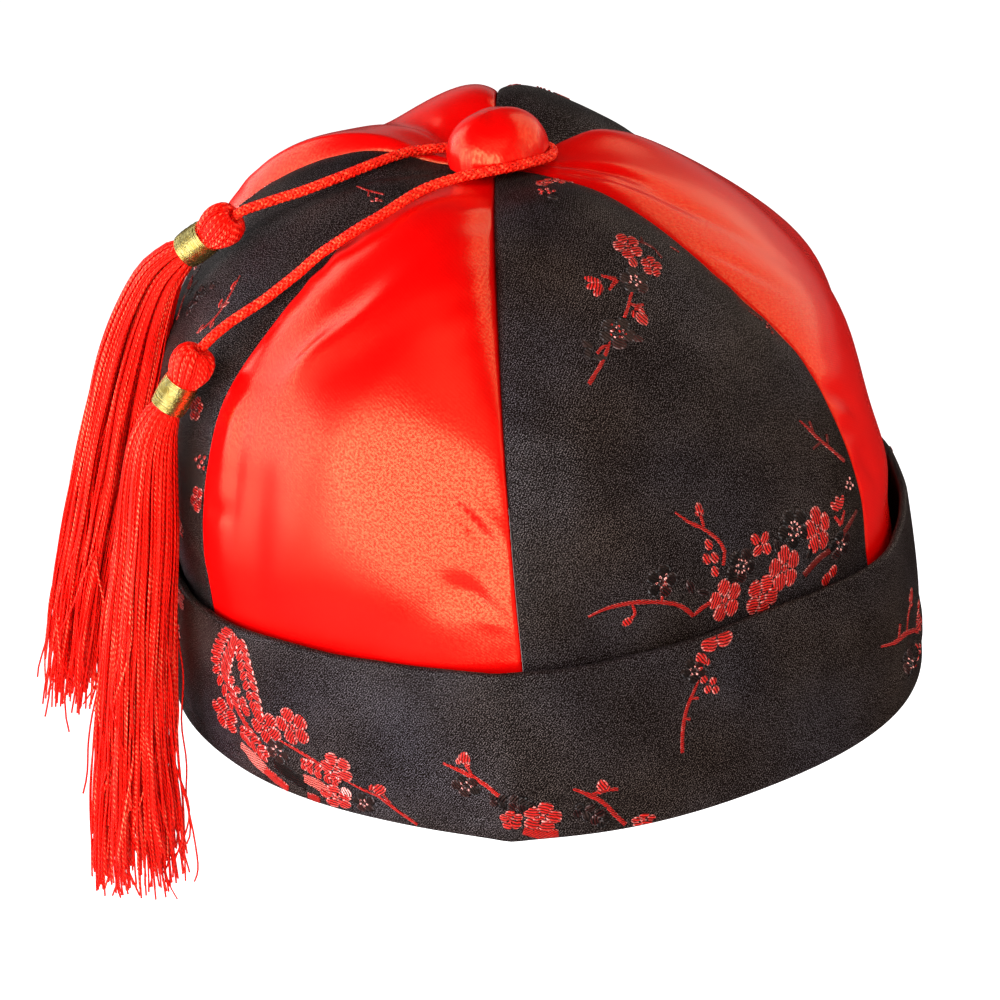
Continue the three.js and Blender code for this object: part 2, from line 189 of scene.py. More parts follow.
# %% Write down the cord's route
CORD_ROUTES = {
    "left": [
        (-1.8, 3, 143.6), (-5.8, 4.6, 143.6), (-10.6, 5.2, 144.4), (-15.2, 4.2, 144.9),
        (-18.7, 3.8, 145), (-21.8, 2.6, 145.2), (-25.1, 0.5, 145.3), (-29, -1.9, 145.1),
        (-34.2, -4.6, 144.5), (-39.4, -6.6, 143.6), (-44.6, -8, 142.6), (-49.9, -9, 141.5),
        (-55.1, -9.6, 140.6), (-60, -10.5, 139.8), (-64.2, -11, 138.9), (-66.7, -10.4, 137.5),
    ],
    "front": [
        (1.8, 3.4, 143.6), (6.2, 4.4, 143.6), (10.6, 3.4, 143.6), (14, 0.6, 143.6),
        (15, -3.6, 143.8), (14.4, -7.8, 144.2), (12.4, -11.7, 144.8), (9.2, -14.9, 145.4),
        (5.2, -17, 145.5), (1, -17.9, 145.4), (-4, -18.4, 145.1), (-9.2, -19.2, 144.8),
        (-14.3, -20.8, 144.4), (-19.4, -23.6, 143.8), (-24.6, -27.6, 142.6),
        (-29.8, -30.4, 140.8), (-35.1, -31.4, 138.6), (-40.5, -31, 135.5), (-46, -30, 132),
        (-51.4, -29.6, 127.8), (-56.8, -29.2, 124), (-61.1, -29.4, 121.2), (-66, -30.2, 118.8),
        (-70.4, -31.3, 116.7), (-74.9, -33, 114.1), (-77.8, -33.9, 111.8),
    ],
}


def along(points, steps):
    """Points at even shares of a smooth curve through the given ones."""
    curve = curve_through(points, np.linspace(0, len(points) - 1, 40 * len(points)))
    walked = walked_along(curve)
    wanted = np.linspace(0, walked[-1], steps)
    line = np.stack([np.interp(wanted, walked, curve[:, axis]) for axis in range(3)], axis=-1)
    return line, walked[-1]


CORDS = {side: along(route, 4 * len(route)) for side, route in CORD_ROUTES.items()}
for side, (line, length) in CORDS.items():
    print(f"cord {side}: {length:.1f} mm")

# %% [markdown]
# ## Small tools for finishes
# A finish is worked out by nodes, and sums of nodes are hard to read. Here one small class
# wraps a socket and adds a Math node for each operator, so `1 - mask * 0.4` can be written
# as it is. The same tools build the Geometry Nodes trees further on.

# %% Write nodes as sums
class Wire:
    """A node's socket that can be used in a sum."""

    def __init__(self, net, socket):
        self.net = net
        self.socket = socket

    def __getitem__(self, name):
        return Wire(self.net, self.socket.node.outputs[name])

    def math(self, operation, *others):
        return self.net.node("ShaderNodeMath", {"operation": operation}, [self, *others])

    def __add__(self, other):
        return self.math("ADD", other)

    def __sub__(self, other):
        return self.math("SUBTRACT", other)

    def __mul__(self, other):
        return self.math("MULTIPLY", other)

    def __truediv__(self, other):
        return self.math("DIVIDE", other)

    def __rsub__(self, other):
        return self.net.node("ShaderNodeMath", {"operation": "SUBTRACT"}, [other, self])

    __radd__ = __add__
    __rmul__ = __mul__

    def sine(self):
        return self.math("SINE")

    def clamped(self):
        return self.net.node("ShaderNodeClamp", {}, [self])


class Net:
    """A node tree, and one way to add any node to it."""

    def __init__(self, tree):
        self.tree = tree

    def feed(self, node, values):
        """Give a node's inputs their values or links, by name or by number."""
        pairs = values.items() if isinstance(values, dict) else enumerate(values)
        for key, value in pairs:
            if isinstance(value, list):
                for wire in value:
                    self.tree.links.new(wire.socket, node.inputs[key])
            elif isinstance(value, Wire):
                self.tree.links.new(value.socket, node.inputs[key])
            else:
                node.inputs[key].default_value = value

    def node(self, kind, settings=None, values=(), out=0):
        """Add a node with its settings and inputs, and hand back one output."""
        node = self.tree.nodes.new(kind)
        for key, value in (settings or {}).items():
            if key == "stops":
                ramp = node.color_ramp.elements
                while len(ramp) < len(value):
                    ramp.new(1)
                for stop, (place, colour) in zip(ramp, value):
                    stop.position = place
                    stop.color = (*colour, 1)
            else:
                setattr(node, key, value)
        self.feed(node, values)
        return Wire(self, node.outputs[out]) if len(node.outputs) else None

    def colours(self, share, first, second):
        """A mix of two colours, each a link or three numbers."""
        def whole(colour):
            return colour if isinstance(colour, Wire) else (*colour, 1)

        settings = {"data_type": "RGBA", "clamp_factor": True}
        return self.node("ShaderNodeMix", settings, {0: share, 6: whole(first), 7: whole(second)}, 2)

    def noise(self, place, scale, detail=2.0, out=0):
        values = {"Vector": place, "Scale": scale, "Detail": detail}
        return self.node("ShaderNodeTexNoise", {}, values, out)

    def split(self, vector):
        """A vector's three numbers."""
        first = self.node("ShaderNodeSeparateXYZ", {}, [vector])
        return first, first["Y"], first["Z"]

    def joined(self, *numbers):
        return self.node("ShaderNodeCombineXYZ", {}, numbers)

    def place(self):
        """Where a point of the surface is, in metres."""
        return self.node("ShaderNodeTexCoord")["Object"]

    def written(self, name, out="Fac"):
        """What a mesh has written on its points under a name."""
        return self.node("ShaderNodeAttribute", {"attribute_name": name})[out]

    def bump(self, strength, distance, height):
        values = {"Strength": strength, "Distance": distance, "Height": height}
        return self.node("ShaderNodeBump", {}, values)

# %% [markdown]
# A finish is a function that takes a tree and says what changes over the surface, such as
# its colour. What is the same all over is set on the shader itself. A woven face shines on
# its threads and not between them, so a cloth may mix two shaders by the same pattern.

# %% Make a finish from its paint
def finish(name, paint, hollows=None, **constants):
    """A material whose paint function works out what changes over the surface.

    When hollows gives other settings for the places between the threads, the paint's
    "Share" says where the threads are.
    """
    material = bpy.data.materials.new(name)
    material.use_nodes = True
    shader = material.node_tree.nodes["Principled BSDF"]
    net = Net(material.node_tree)
    painted = paint(net)
    share = painted.pop("Share", None)
    settings = {key.replace("_", " "): value for key, value in constants.items()}
    net.feed(shader, {**settings, **painted})
    if hollows:
        between = net.node("ShaderNodeBsdfPrincipled", {}, {**settings, **painted, **hollows})
        both = net.node("ShaderNodeMixShader", {}, [share, between, Wire(net, shader.outputs[0])])
        net.feed(material.node_tree.nodes["Material Output"], {"Surface": both})
    return material

# %% [markdown]
# ## Satin and brocade
# Satin has long floats of thread on its face, so it is smooth and catches the light in broad
# soft patches, and its weave only shows as a very fine twill. Both cloths are painted on
# their flat pattern, a UV map in metres, so the weave keeps one size and follows each gore.

# %% Mix the satin
SATIN_RED = (0.56, 0.0002, 0.0006)
SATIN_LIT = (0.72, 0.0006, 0.0008)
FLOAT_PERIOD = 0.74  # millimetres from one line of floats to the next
WEAVE_DEPTH = 0.0002  # metres that a weave stands up, for the bump


def cloth_place(net):
    """A place on the flat cloth, in millimetres."""
    uv = net.node("ShaderNodeUVMap", {"uv_map": "cloth"})
    return net.node("ShaderNodeVectorMath", {"operation": "SCALE"}, {0: uv, "Scale": 1 / MM})


def satin_paint(net):
    place = cloth_place(net)
    u, v, _ = net.split(place)
    float_lines = ((u * 0.6 + v * 0.8) * (TURN / FLOAT_PERIOD)).sine()
    grain = net.noise(place, 1.5, 3)
    cloud = net.noise(place, 0.045, 2)
    tone = ((grain - 0.5) * 2.0 + cloud).clamped()
    threads = ((grain - 0.5) * 6.0 + float_lines * 0.25 + 0.55).clamped()
    colour = net.colours(tone, SATIN_RED, SATIN_LIT)
    bump = net.bump(0.10, WEAVE_DEPTH, float_lines * 0.2 + grain)
    return {"Base Color": colour, "Roughness": cloud * 0.08 + 0.18, "Normal": bump, "Share": threads}


satin = finish(
    "red_satin", satin_paint, {"Specular IOR Level": 0.30}, Specular_IOR_Level=0.9, IOR=1.8,
    Specular_Tint=(1, 0.52, 0.22, 1),
)

# %% [markdown]
# Brocade has a twill face of black thread, and every thread that comes up catches a fleck of
# light. The flecks are small, so noise stretched along the twill makes them, and it also says
# where the cloth shines. The flecks are painted grey into the colour, partly the threads' own
# speckle and partly painted sheen. A slow noise makes the flecks a little warmer here and a
# little colder there. Between the threads it is a dull, slightly warm black.

# %% Mix the brocade
GROUND_DARK = (0.0036, 0.0018, 0.0013)
# the colours of the flecks: partly the threads' own grey speckle and partly painted sheen
FLECK_AND_SHEEN_WARM = (0.108, 0.074, 0.058)
FLECK_AND_SHEEN_COLD = (0.098, 0.082, 0.094)
TWILL_PERIOD = 0.60


def brocade_paint(net):
    place = cloth_place(net)
    u, v, _ = net.split(place)
    twill = net.joined(u * 1.15 + v * 0.85, u * 1.2 - v * 1.5, 0)
    fleck = net.noise(twill, 2.25, 2)
    lines = ((u * 0.77 - v * 0.64) * (TURN / TWILL_PERIOD)).sine()
    cloud = net.noise(place, 0.05, 2)
    # painted sheen: where lit is high the colour turns grey, in fine flecks and in broad patches
    lit = ((fleck - 0.57) * 8 + lines * 0.22 + (cloud - 0.5) * 0.8 + 0.24).clamped()
    tinge = ((net.noise(place, 0.022, 1) - 0.5) * 3 + 0.4).clamped()
    colour = net.colours(lit, GROUND_DARK, net.colours(tinge, FLECK_AND_SHEEN_WARM, FLECK_AND_SHEEN_COLD))
    bump = net.bump(0.20, WEAVE_DEPTH, fleck + lines * 0.15)
    return {"Base Color": colour, "Roughness": 0.46 - lit * 0.08, "Normal": bump, "Share": lit}


brocade = finish(
    "black_brocade", brocade_paint, {"Specular IOR Level": 0.03}, Specular_IOR_Level=0.80,
    Specular_Tint=(0.94, 0.93, 1, 1),
)
print("cloths:", satin.name, brocade.name)

# %% [markdown]
# ## The crown's shape
# The crown is a dome that is pulled in at six seams. Two tables give it: the outline seen
# from above, every thirty degrees, and the section up a seam and up the middle of a gore.

# %% Write down the crown's sizes
CLOTH = 1.6
CROWN_HEIGHT = 141
MEAN_RADIUS = 93
PUFF_POWER = 0.62
SEAM_GAP = 0.02
CUFF_HEIGHT = 44.5
CUFF_WALL = 2.4
CUFF_GAP = 0.8

OUTLINE = table(
    "crown rim cuff_top fullness lift",
    (95, 101, 98, 1.0, 0),
    (93, 101.5, 96, 1.0, 0),
    (98.5, 105.5, 102.5, 0.993, -1.8),
    (94, 101.5, 100.5, 1.017, -1.7),
    (92, 99, 100.5, 1.086, 0.5),
    (92, 98.5, 97, 0.925, 8.4),
    (92.5, 98.5, 96, 1.03, 17),
    (93, 99, 96.5, 1.08, 8.7),
    (93, 100, 97, 1.135, 10.5),
    (94, 100, 97.5, 1.1, 5),
    (93, 95.5, 96.5, 1.02, 0),
    (89.5, 95, 92.5, 1.0, 0),
)
SECTIONS = table(
    "seam seam_z middle middle_z ahead give",
    (1.0, 3, 1.0, 3, 0, 0),
    (1.0, 24, 1.0, 24, 0, 0),
    (1.0, 44.5, 1.0, 44.5, 0, 0),
    (1.0, 62, 1.015, 62.5, 0, 0.1),
    (0.955, 81, 0.975, 82.5, 0.5, 0.35),
    (0.86, 100, 0.9, 101.5, 1.5, 0.7),
    (0.68, 116, 0.75, 119.5, 2.5, 1),
    (0.5, 128, 0.57, 134, 3.5, 1),
    (0.32, 137, 0.37, 141.5, 4, 0.7),
    (0.16, 140, 0.18, 141.8, 4, 0.15),
    (0.042, 141, 0.042, 141, 4, 0),
)
CUFF_TOP_ROW = 2  # the row of the section at the cuff's top edge
LAST_ROW = len(SECTIONS["seam"]) - 1


def outline_at(azimuth):
    turns = np.asarray(azimuth) / 360 * len(OUTLINE["rim"])
    return {name: smooth(column, turns, closed=True) for name, column in OUTLINE.items()}


def crown_radius(outline, height):
    """Straight from the rim up to the cuff's top edge, then slowly to the round mean."""
    rim = outline["rim"] - CUFF_WALL - CUFF_GAP
    faded = np.clip((height - CUFF_HEIGHT) / (CROWN_HEIGHT - CUFF_HEIGHT), 0, 1)
    low = mix(rim, outline["crown"], height / CUFF_HEIGHT)
    return np.where(height < CUFF_HEIGHT, low, mix(outline["crown"], MEAN_RADIUS, faded))

# %% [markdown]
# Cloth is never quite smooth. Each gore has its own few large folds, written down one by
# one, and creases that were too fine for the plain model. Then come small puckers where the
# seam thread draws the cloth in, and a slow wave all over.

# %% Write down the folds
# Each row says where the fold's middle is, across and up the gore, the way that it runs in
# degrees, and how long, how wide and how proud it is in millimetres.
FOLDS = {
    "red_front_left": [
        (0.34, 6.4, 38, 26, 7, -1.6),
        (0.24, 3.6, 84, 20, 7, -1.8),
        (0.9, 3.2, 28, 11, 5, -1.5),
    ],
    "red_right": [
        (0.3, 8.1, 70, 18, 5, -1.4),
        (0.62, 5.2, 60, 22, 8, -1.4),
        (0.69, 3.4, 0, 45, 14, -3.4),
        (0.86, 8, 0, 22, 16, 3),
    ],
    "red_back_left": [
        (0.5, 7.8, 80, 14, 8, -2.2),
        (0.98, 6.5, 75, 46, 17.5, 4.3),
    ],
    "black_left": [(0.5, 7.4, 75, 20, 7, -1.6)],
}
CREASES = {
    "red_front_left": [
        (0.41, 6.10, 36, 15, 2.6, 0.8),
        (0.32, 5.66, 62, 10, 3.0, 0.7),
        (0.50, 5.78, 30, 17, 4.5, -0.8),
        (0.15, 3.9, 88, 18, 3.2, -1.1),
        (0.05, 3.55, 10, 6, 2.2, -1.1),
        (0.11, 4.6, 88, 12, 4.0, 0.6),
        (0.14, 2.9, 80, 14, 5.0, 0.8),
        (0.90, 4.02, -42, 8, 1.4, -1.4),
        (0.95, 4.06, -40, 8, 1.4, 1.0),
        (0.93, 3.78, -30, 6, 1.4, -0.9),
        (0.90, 3.00, -35, 9, 1.8, -0.9),
        (0.94, 3.20, -35, 8, 1.6, 0.6),
        (0.94, 2.75, -35, 7, 1.6, 0.5),
    ],
    "red_right": [
        (0.10, 6.2, 118, 10, 1.8, -0.7),
        (0.07, 4.1, 130, 7, 1.8, -0.9),
        (0.06, 3.3, 120, 8, 2.0, -0.8),
        (0.22, 7.3, 105, 22, 2.6, -0.7),
    ],
    "black_left": [(0.50, 6.9, 96, 16, 3.4, 0.7)],
    "black_front_right": [
        (0.12, 5.0, 82, 26, 4.5, -0.7),
        (0.80, 3.6, 40, 14, 4.0, -0.8),
    ],
}
FOLD_WIDTH = 92  # millimetres that one unit of a fold's across stands for
FOLD_RISE = 18  # and one unit of its up
PUCKER_REACH = 3.5  # millimetres from the seam at which a pucker is highest
PUCKER_HEIGHT = 0.32


def fold_relief(folds, across, up):
    """How far the folds press the cloth in, or lift it, in millimetres."""
    relief = 0 * across * up
    for middle, row, degrees, long, wide, proud in folds:
        level = (across - middle) * FOLD_WIDTH
        rise = (up - row) * FOLD_RISE
        run = math.radians(degrees)
        lengthways = level * math.cos(run) + rise * math.sin(run)
        sideways = rise * math.cos(run) - level * math.sin(run)
        relief = relief + proud * np.exp(-((lengthways / long) ** 2) - (sideways / wide) ** 2)
    return relief


def pucker_relief(from_seam, length, seed):
    """Small ripples that start at a seam, where the thread is tight, and fade from it."""
    drift = length + 0.35 * from_seam
    tight = np.clip(np.sin(length / 19 + 2.1 * seed) + 0.25 * np.sin(length / 7 + seed), 0, 1)
    ripple = np.sin(drift / 1.75 + 1.3 * np.sin(length / 23 + seed))
    faded = from_seam / PUCKER_REACH * np.exp(1 - from_seam / PUCKER_REACH)
    return PUCKER_HEIGHT * tight * ripple * faded


def wave_relief(u, v, seed):
    """The slow waves of a cloth that is sewn a little loosely."""
    slow = np.sin(u / 13 + v / 31 + seed) + np.sin(u / 23 - v / 17 + 2.3 * seed)
    return 0.30 * slow + 0.12 * np.sin(u / 6.1 + v / 11 + 4.1 * seed)

# %% [markdown]
# A gore is one class, because everything that lies on it needs the same surface. It also
# unrolls the gore into its flat pattern, which the weave and the woven flowers are drawn on.

# %% Describe a gore
class Gore:
    """Across runs 0 to 1 between the seams, up counts the rows of the crown's section."""

    def __init__(self, name, start, end, puff, seed):
        self.name, self.start, self.end = name, start, end
        self.puff, self.seed = puff, seed
        self.ups = np.linspace(0, LAST_ROW, 121)
        self.lengths = walked_along(self.plain(np.full_like(self.ups, 0.5), self.ups))
        grid = self.plain(np.linspace(0, 1, 25)[None, :], self.ups[:, None])
        self.widths = np.linalg.norm(np.diff(grid, axis=1), axis=2).sum(axis=1)

    def plain(self, across, up):
        """A point of the gore before its folds."""
        across, up = np.broadcast_arrays(across, up)
        puff = self.puff * (4 * across * (1 - across)) ** PUFF_POWER
        row = {name: smooth(column, up) for name, column in SECTIONS.items()}
        share = mix(row["seam"], row["middle"], puff)
        height = mix(row["seam_z"], row["middle_z"], puff)
        inset = np.degrees(SEAM_GAP / 2 / (share * MEAN_RADIUS))
        azimuth = mix(self.start + inset, self.end - inset, across)
        outline = outline_at(azimuth)
        fuller = 1 + (outline["fullness"] - 1) * row["give"]
        radius = share * crown_radius(outline, height) * fuller
        return polar(azimuth, radius, height + row["give"] * outline["lift"], row["ahead"])

    def flat(self, across, up):
        """The place on the flat pattern, in millimetres from the middle of the rim."""
        u = (across - 0.5) * np.interp(up, self.ups, self.widths)
        return u, np.interp(up, self.ups, self.lengths)

    def holds(self, u, v):
        """Whether a place of the flat pattern lies on this gore, clear of its seams."""
        return abs(u) < np.interp(v, self.lengths, self.widths) / 2 - 0.6

    def unflat(self, u, v):
        """Back from the flat pattern, to a place just clear of the seams."""
        up = np.interp(v, self.lengths, self.ups)
        return np.clip(0.5 + u / np.interp(up, self.ups, self.widths), 0.004, 0.996), up

    def relief(self, across, up):
        """Everything that the cloth does beyond its plain puff."""
        u, v = self.flat(across, up)
        width = np.interp(up, self.ups, self.widths)
        above_cuff = np.clip((up - CUFF_TOP_ROW - 0.1) / 0.5, 0, 1)
        below_button = np.clip((LAST_ROW - 0.8 - up) / 1.2, 0, 1)
        open_cloth = above_cuff * below_button
        inner = np.clip(12 * across * (1 - across), 0, 1)
        puckers = pucker_relief(across * width, v, self.seed)
        puckers = puckers + pucker_relief((1 - across) * width, v, self.seed + 3)
        folds = fold_relief(FOLDS.get(self.name, []) + CREASES.get(self.name, []), across, up)
        return inner * (folds + open_cloth * wave_relief(u, v, self.seed)) + open_cloth * puckers

    def surface(self, across, up, lift=0.0):
        """A point on the cloth, lifted off it by so many millimetres."""
        across, up = np.broadcast_arrays(across, up)
        step = 0.02
        higher = self.plain(across, np.clip(up + step, 0, LAST_ROW))
        lower = self.plain(across, np.clip(up - step, 0, LAST_ROW))
        azimuth = np.radians(mix(self.start, self.end, across))
        sideways = np.stack([np.cos(azimuth), np.sin(azimuth), 0 * azimuth], axis=-1)
        outward = np.cross(sideways, higher - lower)
        outward /= np.linalg.norm(outward, axis=-1, keepdims=True)
        height = self.relief(across, up) + lift
        return self.plain(across, up) + outward * height[..., None]


GORE_SIZES = {  # the azimuths of both seams, the share of the puff, and a seed
    "black_front_right": (-3.5, 59, 1.0, 1),
    "red_right": (59, 128, 0.63, 2),
    "black_back_right": (128, 176, 0.84, 3),
    "red_back_left": (176, 246.5, 0.6, 4),
    "black_left": (246.5, 296.6, 0.57, 5),
    "red_front_left": (296.6, 356.5, 1.0, 6),
}
GORES = {name: Gore(name, *sizes) for name, sizes in GORE_SIZES.items()}
for gore in GORES.values():
    print(f"{gore.name}: flat {gore.widths.max():.0f} x {gore.lengths[-1]:.0f} mm")

# %% [markdown]
# Each gore is made as a closed cloth wall. At its seams the cloth turns in, so both faces
# curve to meet half way through the wall, and two gores side by side leave a fine valley.

# %% Sew the crown
GORE_COLUMNS = 56
GORE_ROWS = 120


def gore_mesh(gore, material):
    """A closed wall of cloth, whose faces are finer near the seams."""
    across = (1 - np.cos(np.linspace(0, np.pi, GORE_COLUMNS + 1))) / 2
    across, up = np.meshgrid(across, np.linspace(0, LAST_ROW, GORE_ROWS + 1))
    half = CLOTH / 2
    from_seam = np.minimum(across, 1 - across) * np.interp(up, gore.ups, gore.widths)
    turned_in = half - np.sqrt(half**2 - (half - np.minimum(from_seam, half)) ** 2)
    outside = gore.surface(across, up, -turned_in)
    inside = gore.surface(across, up, turned_in - CLOTH)[:, -2:0:-1]
    u, v = gore.flat(across, up)
    uv = np.stack([u, v], axis=-1)
    loops = np.concatenate([outside, inside], axis=1)
    size = 2 * GORE_COLUMNS
    faces = ring_faces(GORE_ROWS + 1, size)
    top = GORE_ROWS * size
    for i in range(GORE_COLUMNS):
        back, next_back = (size - i) % size, size - i - 1
        lid = [i, back, next_back, i + 1]
        if i == 0:
            lid = [0, next_back, 1]
        elif i == GORE_COLUMNS - 1:
            lid = [i, back, i + 1]
        faces.append(tuple(lid))
        faces.append(tuple(top + k for k in reversed(lid)))
    flat = np.concatenate([uv, uv[:, -2:0:-1]], axis=1)
    piece = add_piece(f"{gore.name}_cloth", loops.reshape(-1, 3), faces, material, flat.reshape(-1, 2))
    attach(piece, "root")
    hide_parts(f"gore_{gore.name}")
    return piece


for name, gore in GORES.items():
    red = name.startswith("red")
    gore_mesh(gore, satin if red else brocade)

# %% [markdown]
# ## The cuff
# The cuff is a straight band folded over a stiff ply, turned up round the crown, with its
# lower edge folded under the gores and up a little inside them. Its outside comes first,
# because the woven flowers lie on it: a row of stitches draws in a groove along the lower
# edge, a sharp crease runs up the front, and at the right the cloth is pressed into a low
# ridge with a valley above it.

# %% Describe the cuff's outside
STITCH_HEIGHT = 6.4
GROOVE_DEPTH = 0.45
CREASE = {"azimuth": -7.3, "width": 4.0, "height": 2.8}
PRESSED = {"azimuth": 64, "width": 17, "ridge": 0.9, "valley": 0.7}


class Cuff:
    """The cuff's outside, by azimuth, 0 in front and 180 at its join, and by height."""

    def __init__(self):
        self.azimuths = np.linspace(-180, 180, 361)
        walked = walked_along(polar(self.azimuths, self.radius(self.azimuths, CUFF_HEIGHT / 2), 0))
        self.girth = walked[-1]
        self.lengths = walked - walked[180]

    def waves(self, azimuth):
        """How the top edge stands off or leans in, and how it rises and falls."""
        a = np.radians(azimuth)
        off = 0.45 * np.sin(7 * a + 1) + 0.3 * np.sin(12 * a + 2.4) + 0.2 * np.sin(19 * a)
        rise = 0.5 * np.sin(3 * a + 0.6) + 0.35 * np.sin(8 * a + 1.9)
        return off, rise

    def relief(self, azimuth, height):
        """The stitches draw in a groove, the front has a crease, the right is pressed up."""
        a = np.radians(azimuth)
        tight = 1 + 0.5 * np.sin(23 * a) + 0.35 * np.sin(61 * a + 1)
        groove = -GROOVE_DEPTH * tight * np.exp(-((height - STITCH_HEIGHT) ** 2))
        pressed = np.exp(-(((azimuth - PRESSED["azimuth"]) / PRESSED["width"]) ** 2))
        above_ridge = height - (6.5 + 0.13 * (azimuth - 45))
        ridge = PRESSED["ridge"] * pressed * np.exp(-((above_ridge / 2.2) ** 2))
        valley = -PRESSED["valley"] * pressed * np.exp(-(((above_ridge - 4.2) / 2.0) ** 2))
        beside = (azimuth - CREASE["azimuth"]) / CREASE["width"]
        crease = CREASE["height"] * np.exp(-np.sqrt(beside**2 + 0.04))
        return groove + ridge + valley + crease * (1 - 0.4 * height / CUFF_HEIGHT)

    def radius(self, azimuth, height):
        outline = outline_at(azimuth)
        off, _ = self.waves(azimuth)
        share = height / CUFF_HEIGHT
        belly = 0.8 * np.sin(np.pi * np.clip(share, 0, 1)) + self.relief(azimuth, height)
        return mix(outline["rim"], outline["cuff_top"], share) + np.maximum(off, -0.35) * share + belly

    def flat(self, azimuth, height):
        """The place on the flat band, in millimetres from the middle of its lower edge."""
        return np.interp(azimuth, self.azimuths, self.lengths), height

    def holds(self, u, v):
        """Whether a place is on the band, which has no ends, so only its height counts."""
        return 0 < v < CUFF_HEIGHT + 1

    def unflat(self, u, v):
        return np.interp(u, self.lengths, self.azimuths), np.clip(v, 0.6, CUFF_HEIGHT - 0.6)

    def surface(self, azimuth, height, lift=0.0):
        _, rise = self.waves(azimuth)
        share = height / CUFF_HEIGHT
        return polar(azimuth, self.radius(azimuth, height) + lift, height + rise * share)


cuff = Cuff()
print(f"cuff: {cuff.girth:.1f} mm round at half its height")

# %% [markdown]
# The band itself is one closed ring, swept from a section that changes round the hat. The
# section goes up the outside, over the rounded top edge and down behind it, and then up and
# down the hem inside the gores.

# %% Fold the cuff
CUFF_FOLD = 0.9  # the radius of its lower edge
CUFF_STEPS = 300
GORE_START = 3  # the height of the gores' lower edge
HEM_HEIGHT = 12
HEM_WALL = 1.4
HEM_REACH = MEAN_RADIUS - 8  # the hem lies within this radius, the band outside it


def cuff_section(azimuth):
    """One closed loop: up the outside, over the top, down the inside and round the hem."""
    outline = outline_at(azimuth)

    def outside(height):
        return float(cuff.radius(azimuth, height))

    def hem(height):
        return float(crown_radius(outline, height)) - CLOTH - CUFF_GAP

    half = CUFF_WALL / 2
    shoulder = CUFF_HEIGHT - half
    loop = []
    for angle in np.linspace(90, 0, 6)[:-1]:
        turn = math.radians(angle)
        inset, height = CUFF_FOLD * (1 - math.cos(turn)), CUFF_FOLD * (1 - math.sin(turn))
        loop.append((outside(0) - inset, height))
    loop += [(outside(height), height) for height in np.linspace(CUFF_FOLD, shoulder, 26)]
    for angle in np.linspace(0, 180, 10)[1:-1]:
        turn = math.radians(angle)
        radius = outside(shoulder) - half + half * math.cos(turn)
        loop.append((radius, shoulder + half * math.sin(turn)))
    under = GORE_START - CUFF_GAP
    loop += [(outside(height) - CUFF_WALL, height) for height in np.linspace(shoulder, under, 12)]
    loop += [(hem(height), height) for height in np.linspace(under, HEM_HEIGHT - 0.5, 5)]
    loop.append((hem(HEM_HEIGHT) - HEM_WALL / 2, HEM_HEIGHT))
    loop += [(hem(height) - HEM_WALL, height) for height in np.linspace(HEM_HEIGHT - 0.5, CUFF_FOLD, 5)]
    loop.append((hem(0) - HEM_WALL + CUFF_FOLD, 0))
    return np.array(loop)


def cuff_mesh():
    """The swept ring; its UV runs round the hat and along the section from the fold."""
    loops, uv = [], []
    for step in range(CUFF_STEPS, 0, -1):
        azimuth = step * 360 / CUFF_STEPS - 180
        section = cuff_section(azimuth)
        _, rise = cuff.waves(azimuth)
        band = section[:, 0] > HEM_REACH
        height = section[:, 1] + rise * section[:, 1] / CUFF_HEIGHT * band
        loops.append(polar(azimuth, section[:, 0], height))
        u, _ = cuff.flat(azimuth, 0)
        uv.append(np.stack([np.full(len(section), u), walked_along(section)], axis=-1))
    loops = np.array(loops)
    faces = ring_faces(CUFF_STEPS, loops.shape[1], closed=True)
    piece = add_piece("cuff_cloth", loops.reshape(-1, 3), faces, brocade, np.array(uv).reshape(-1, 2))
    corners = piece.data.uv_layers["cloth"].data
    for face in piece.data.polygons:  # the faces that close the ring run on past its end
        ends = [corners[i].uv for i in face.loop_indices]
        if max(end.x for end in ends) - min(end.x for end in ends) > cuff.girth * MM / 2:
            for end in ends:
                end.x += cuff.girth * MM if end.x < 0 else 0
    return piece


cuff_cloth = cuff_mesh()
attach(cuff_cloth, "root")
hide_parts("cuff")

# %% [markdown]
# ## Woven flowers
# In a brocade, extra threads come up to the face only where the pattern is, and float there
# in short ribs. They lie a hair above the ground and catch light at their edges. Each woven
# shape is therefore a thin closed patch that is laid on the cloth by its flat pattern, and
# its finish draws the ribs. A small class collects the patches of one cloth.

# %% Draw a woven patch
BLACK, RED, PINK = 0.0, 0.5, 1.0
RISE = 0.30  # how far the pattern threads stand off the ground, in millimetres
SHADOW_LINE_WIDTH = 0.42  # the painted shadow round a patch, where the pattern threads dive into the ground
EDGE = -0.2  # a patch's edge and underside lie in the cloth, so no gap shows
UNDERSIDE = -0.25
RIBBON_RIBS = 1.7  # a ribbon's ribs are finer than a petal's


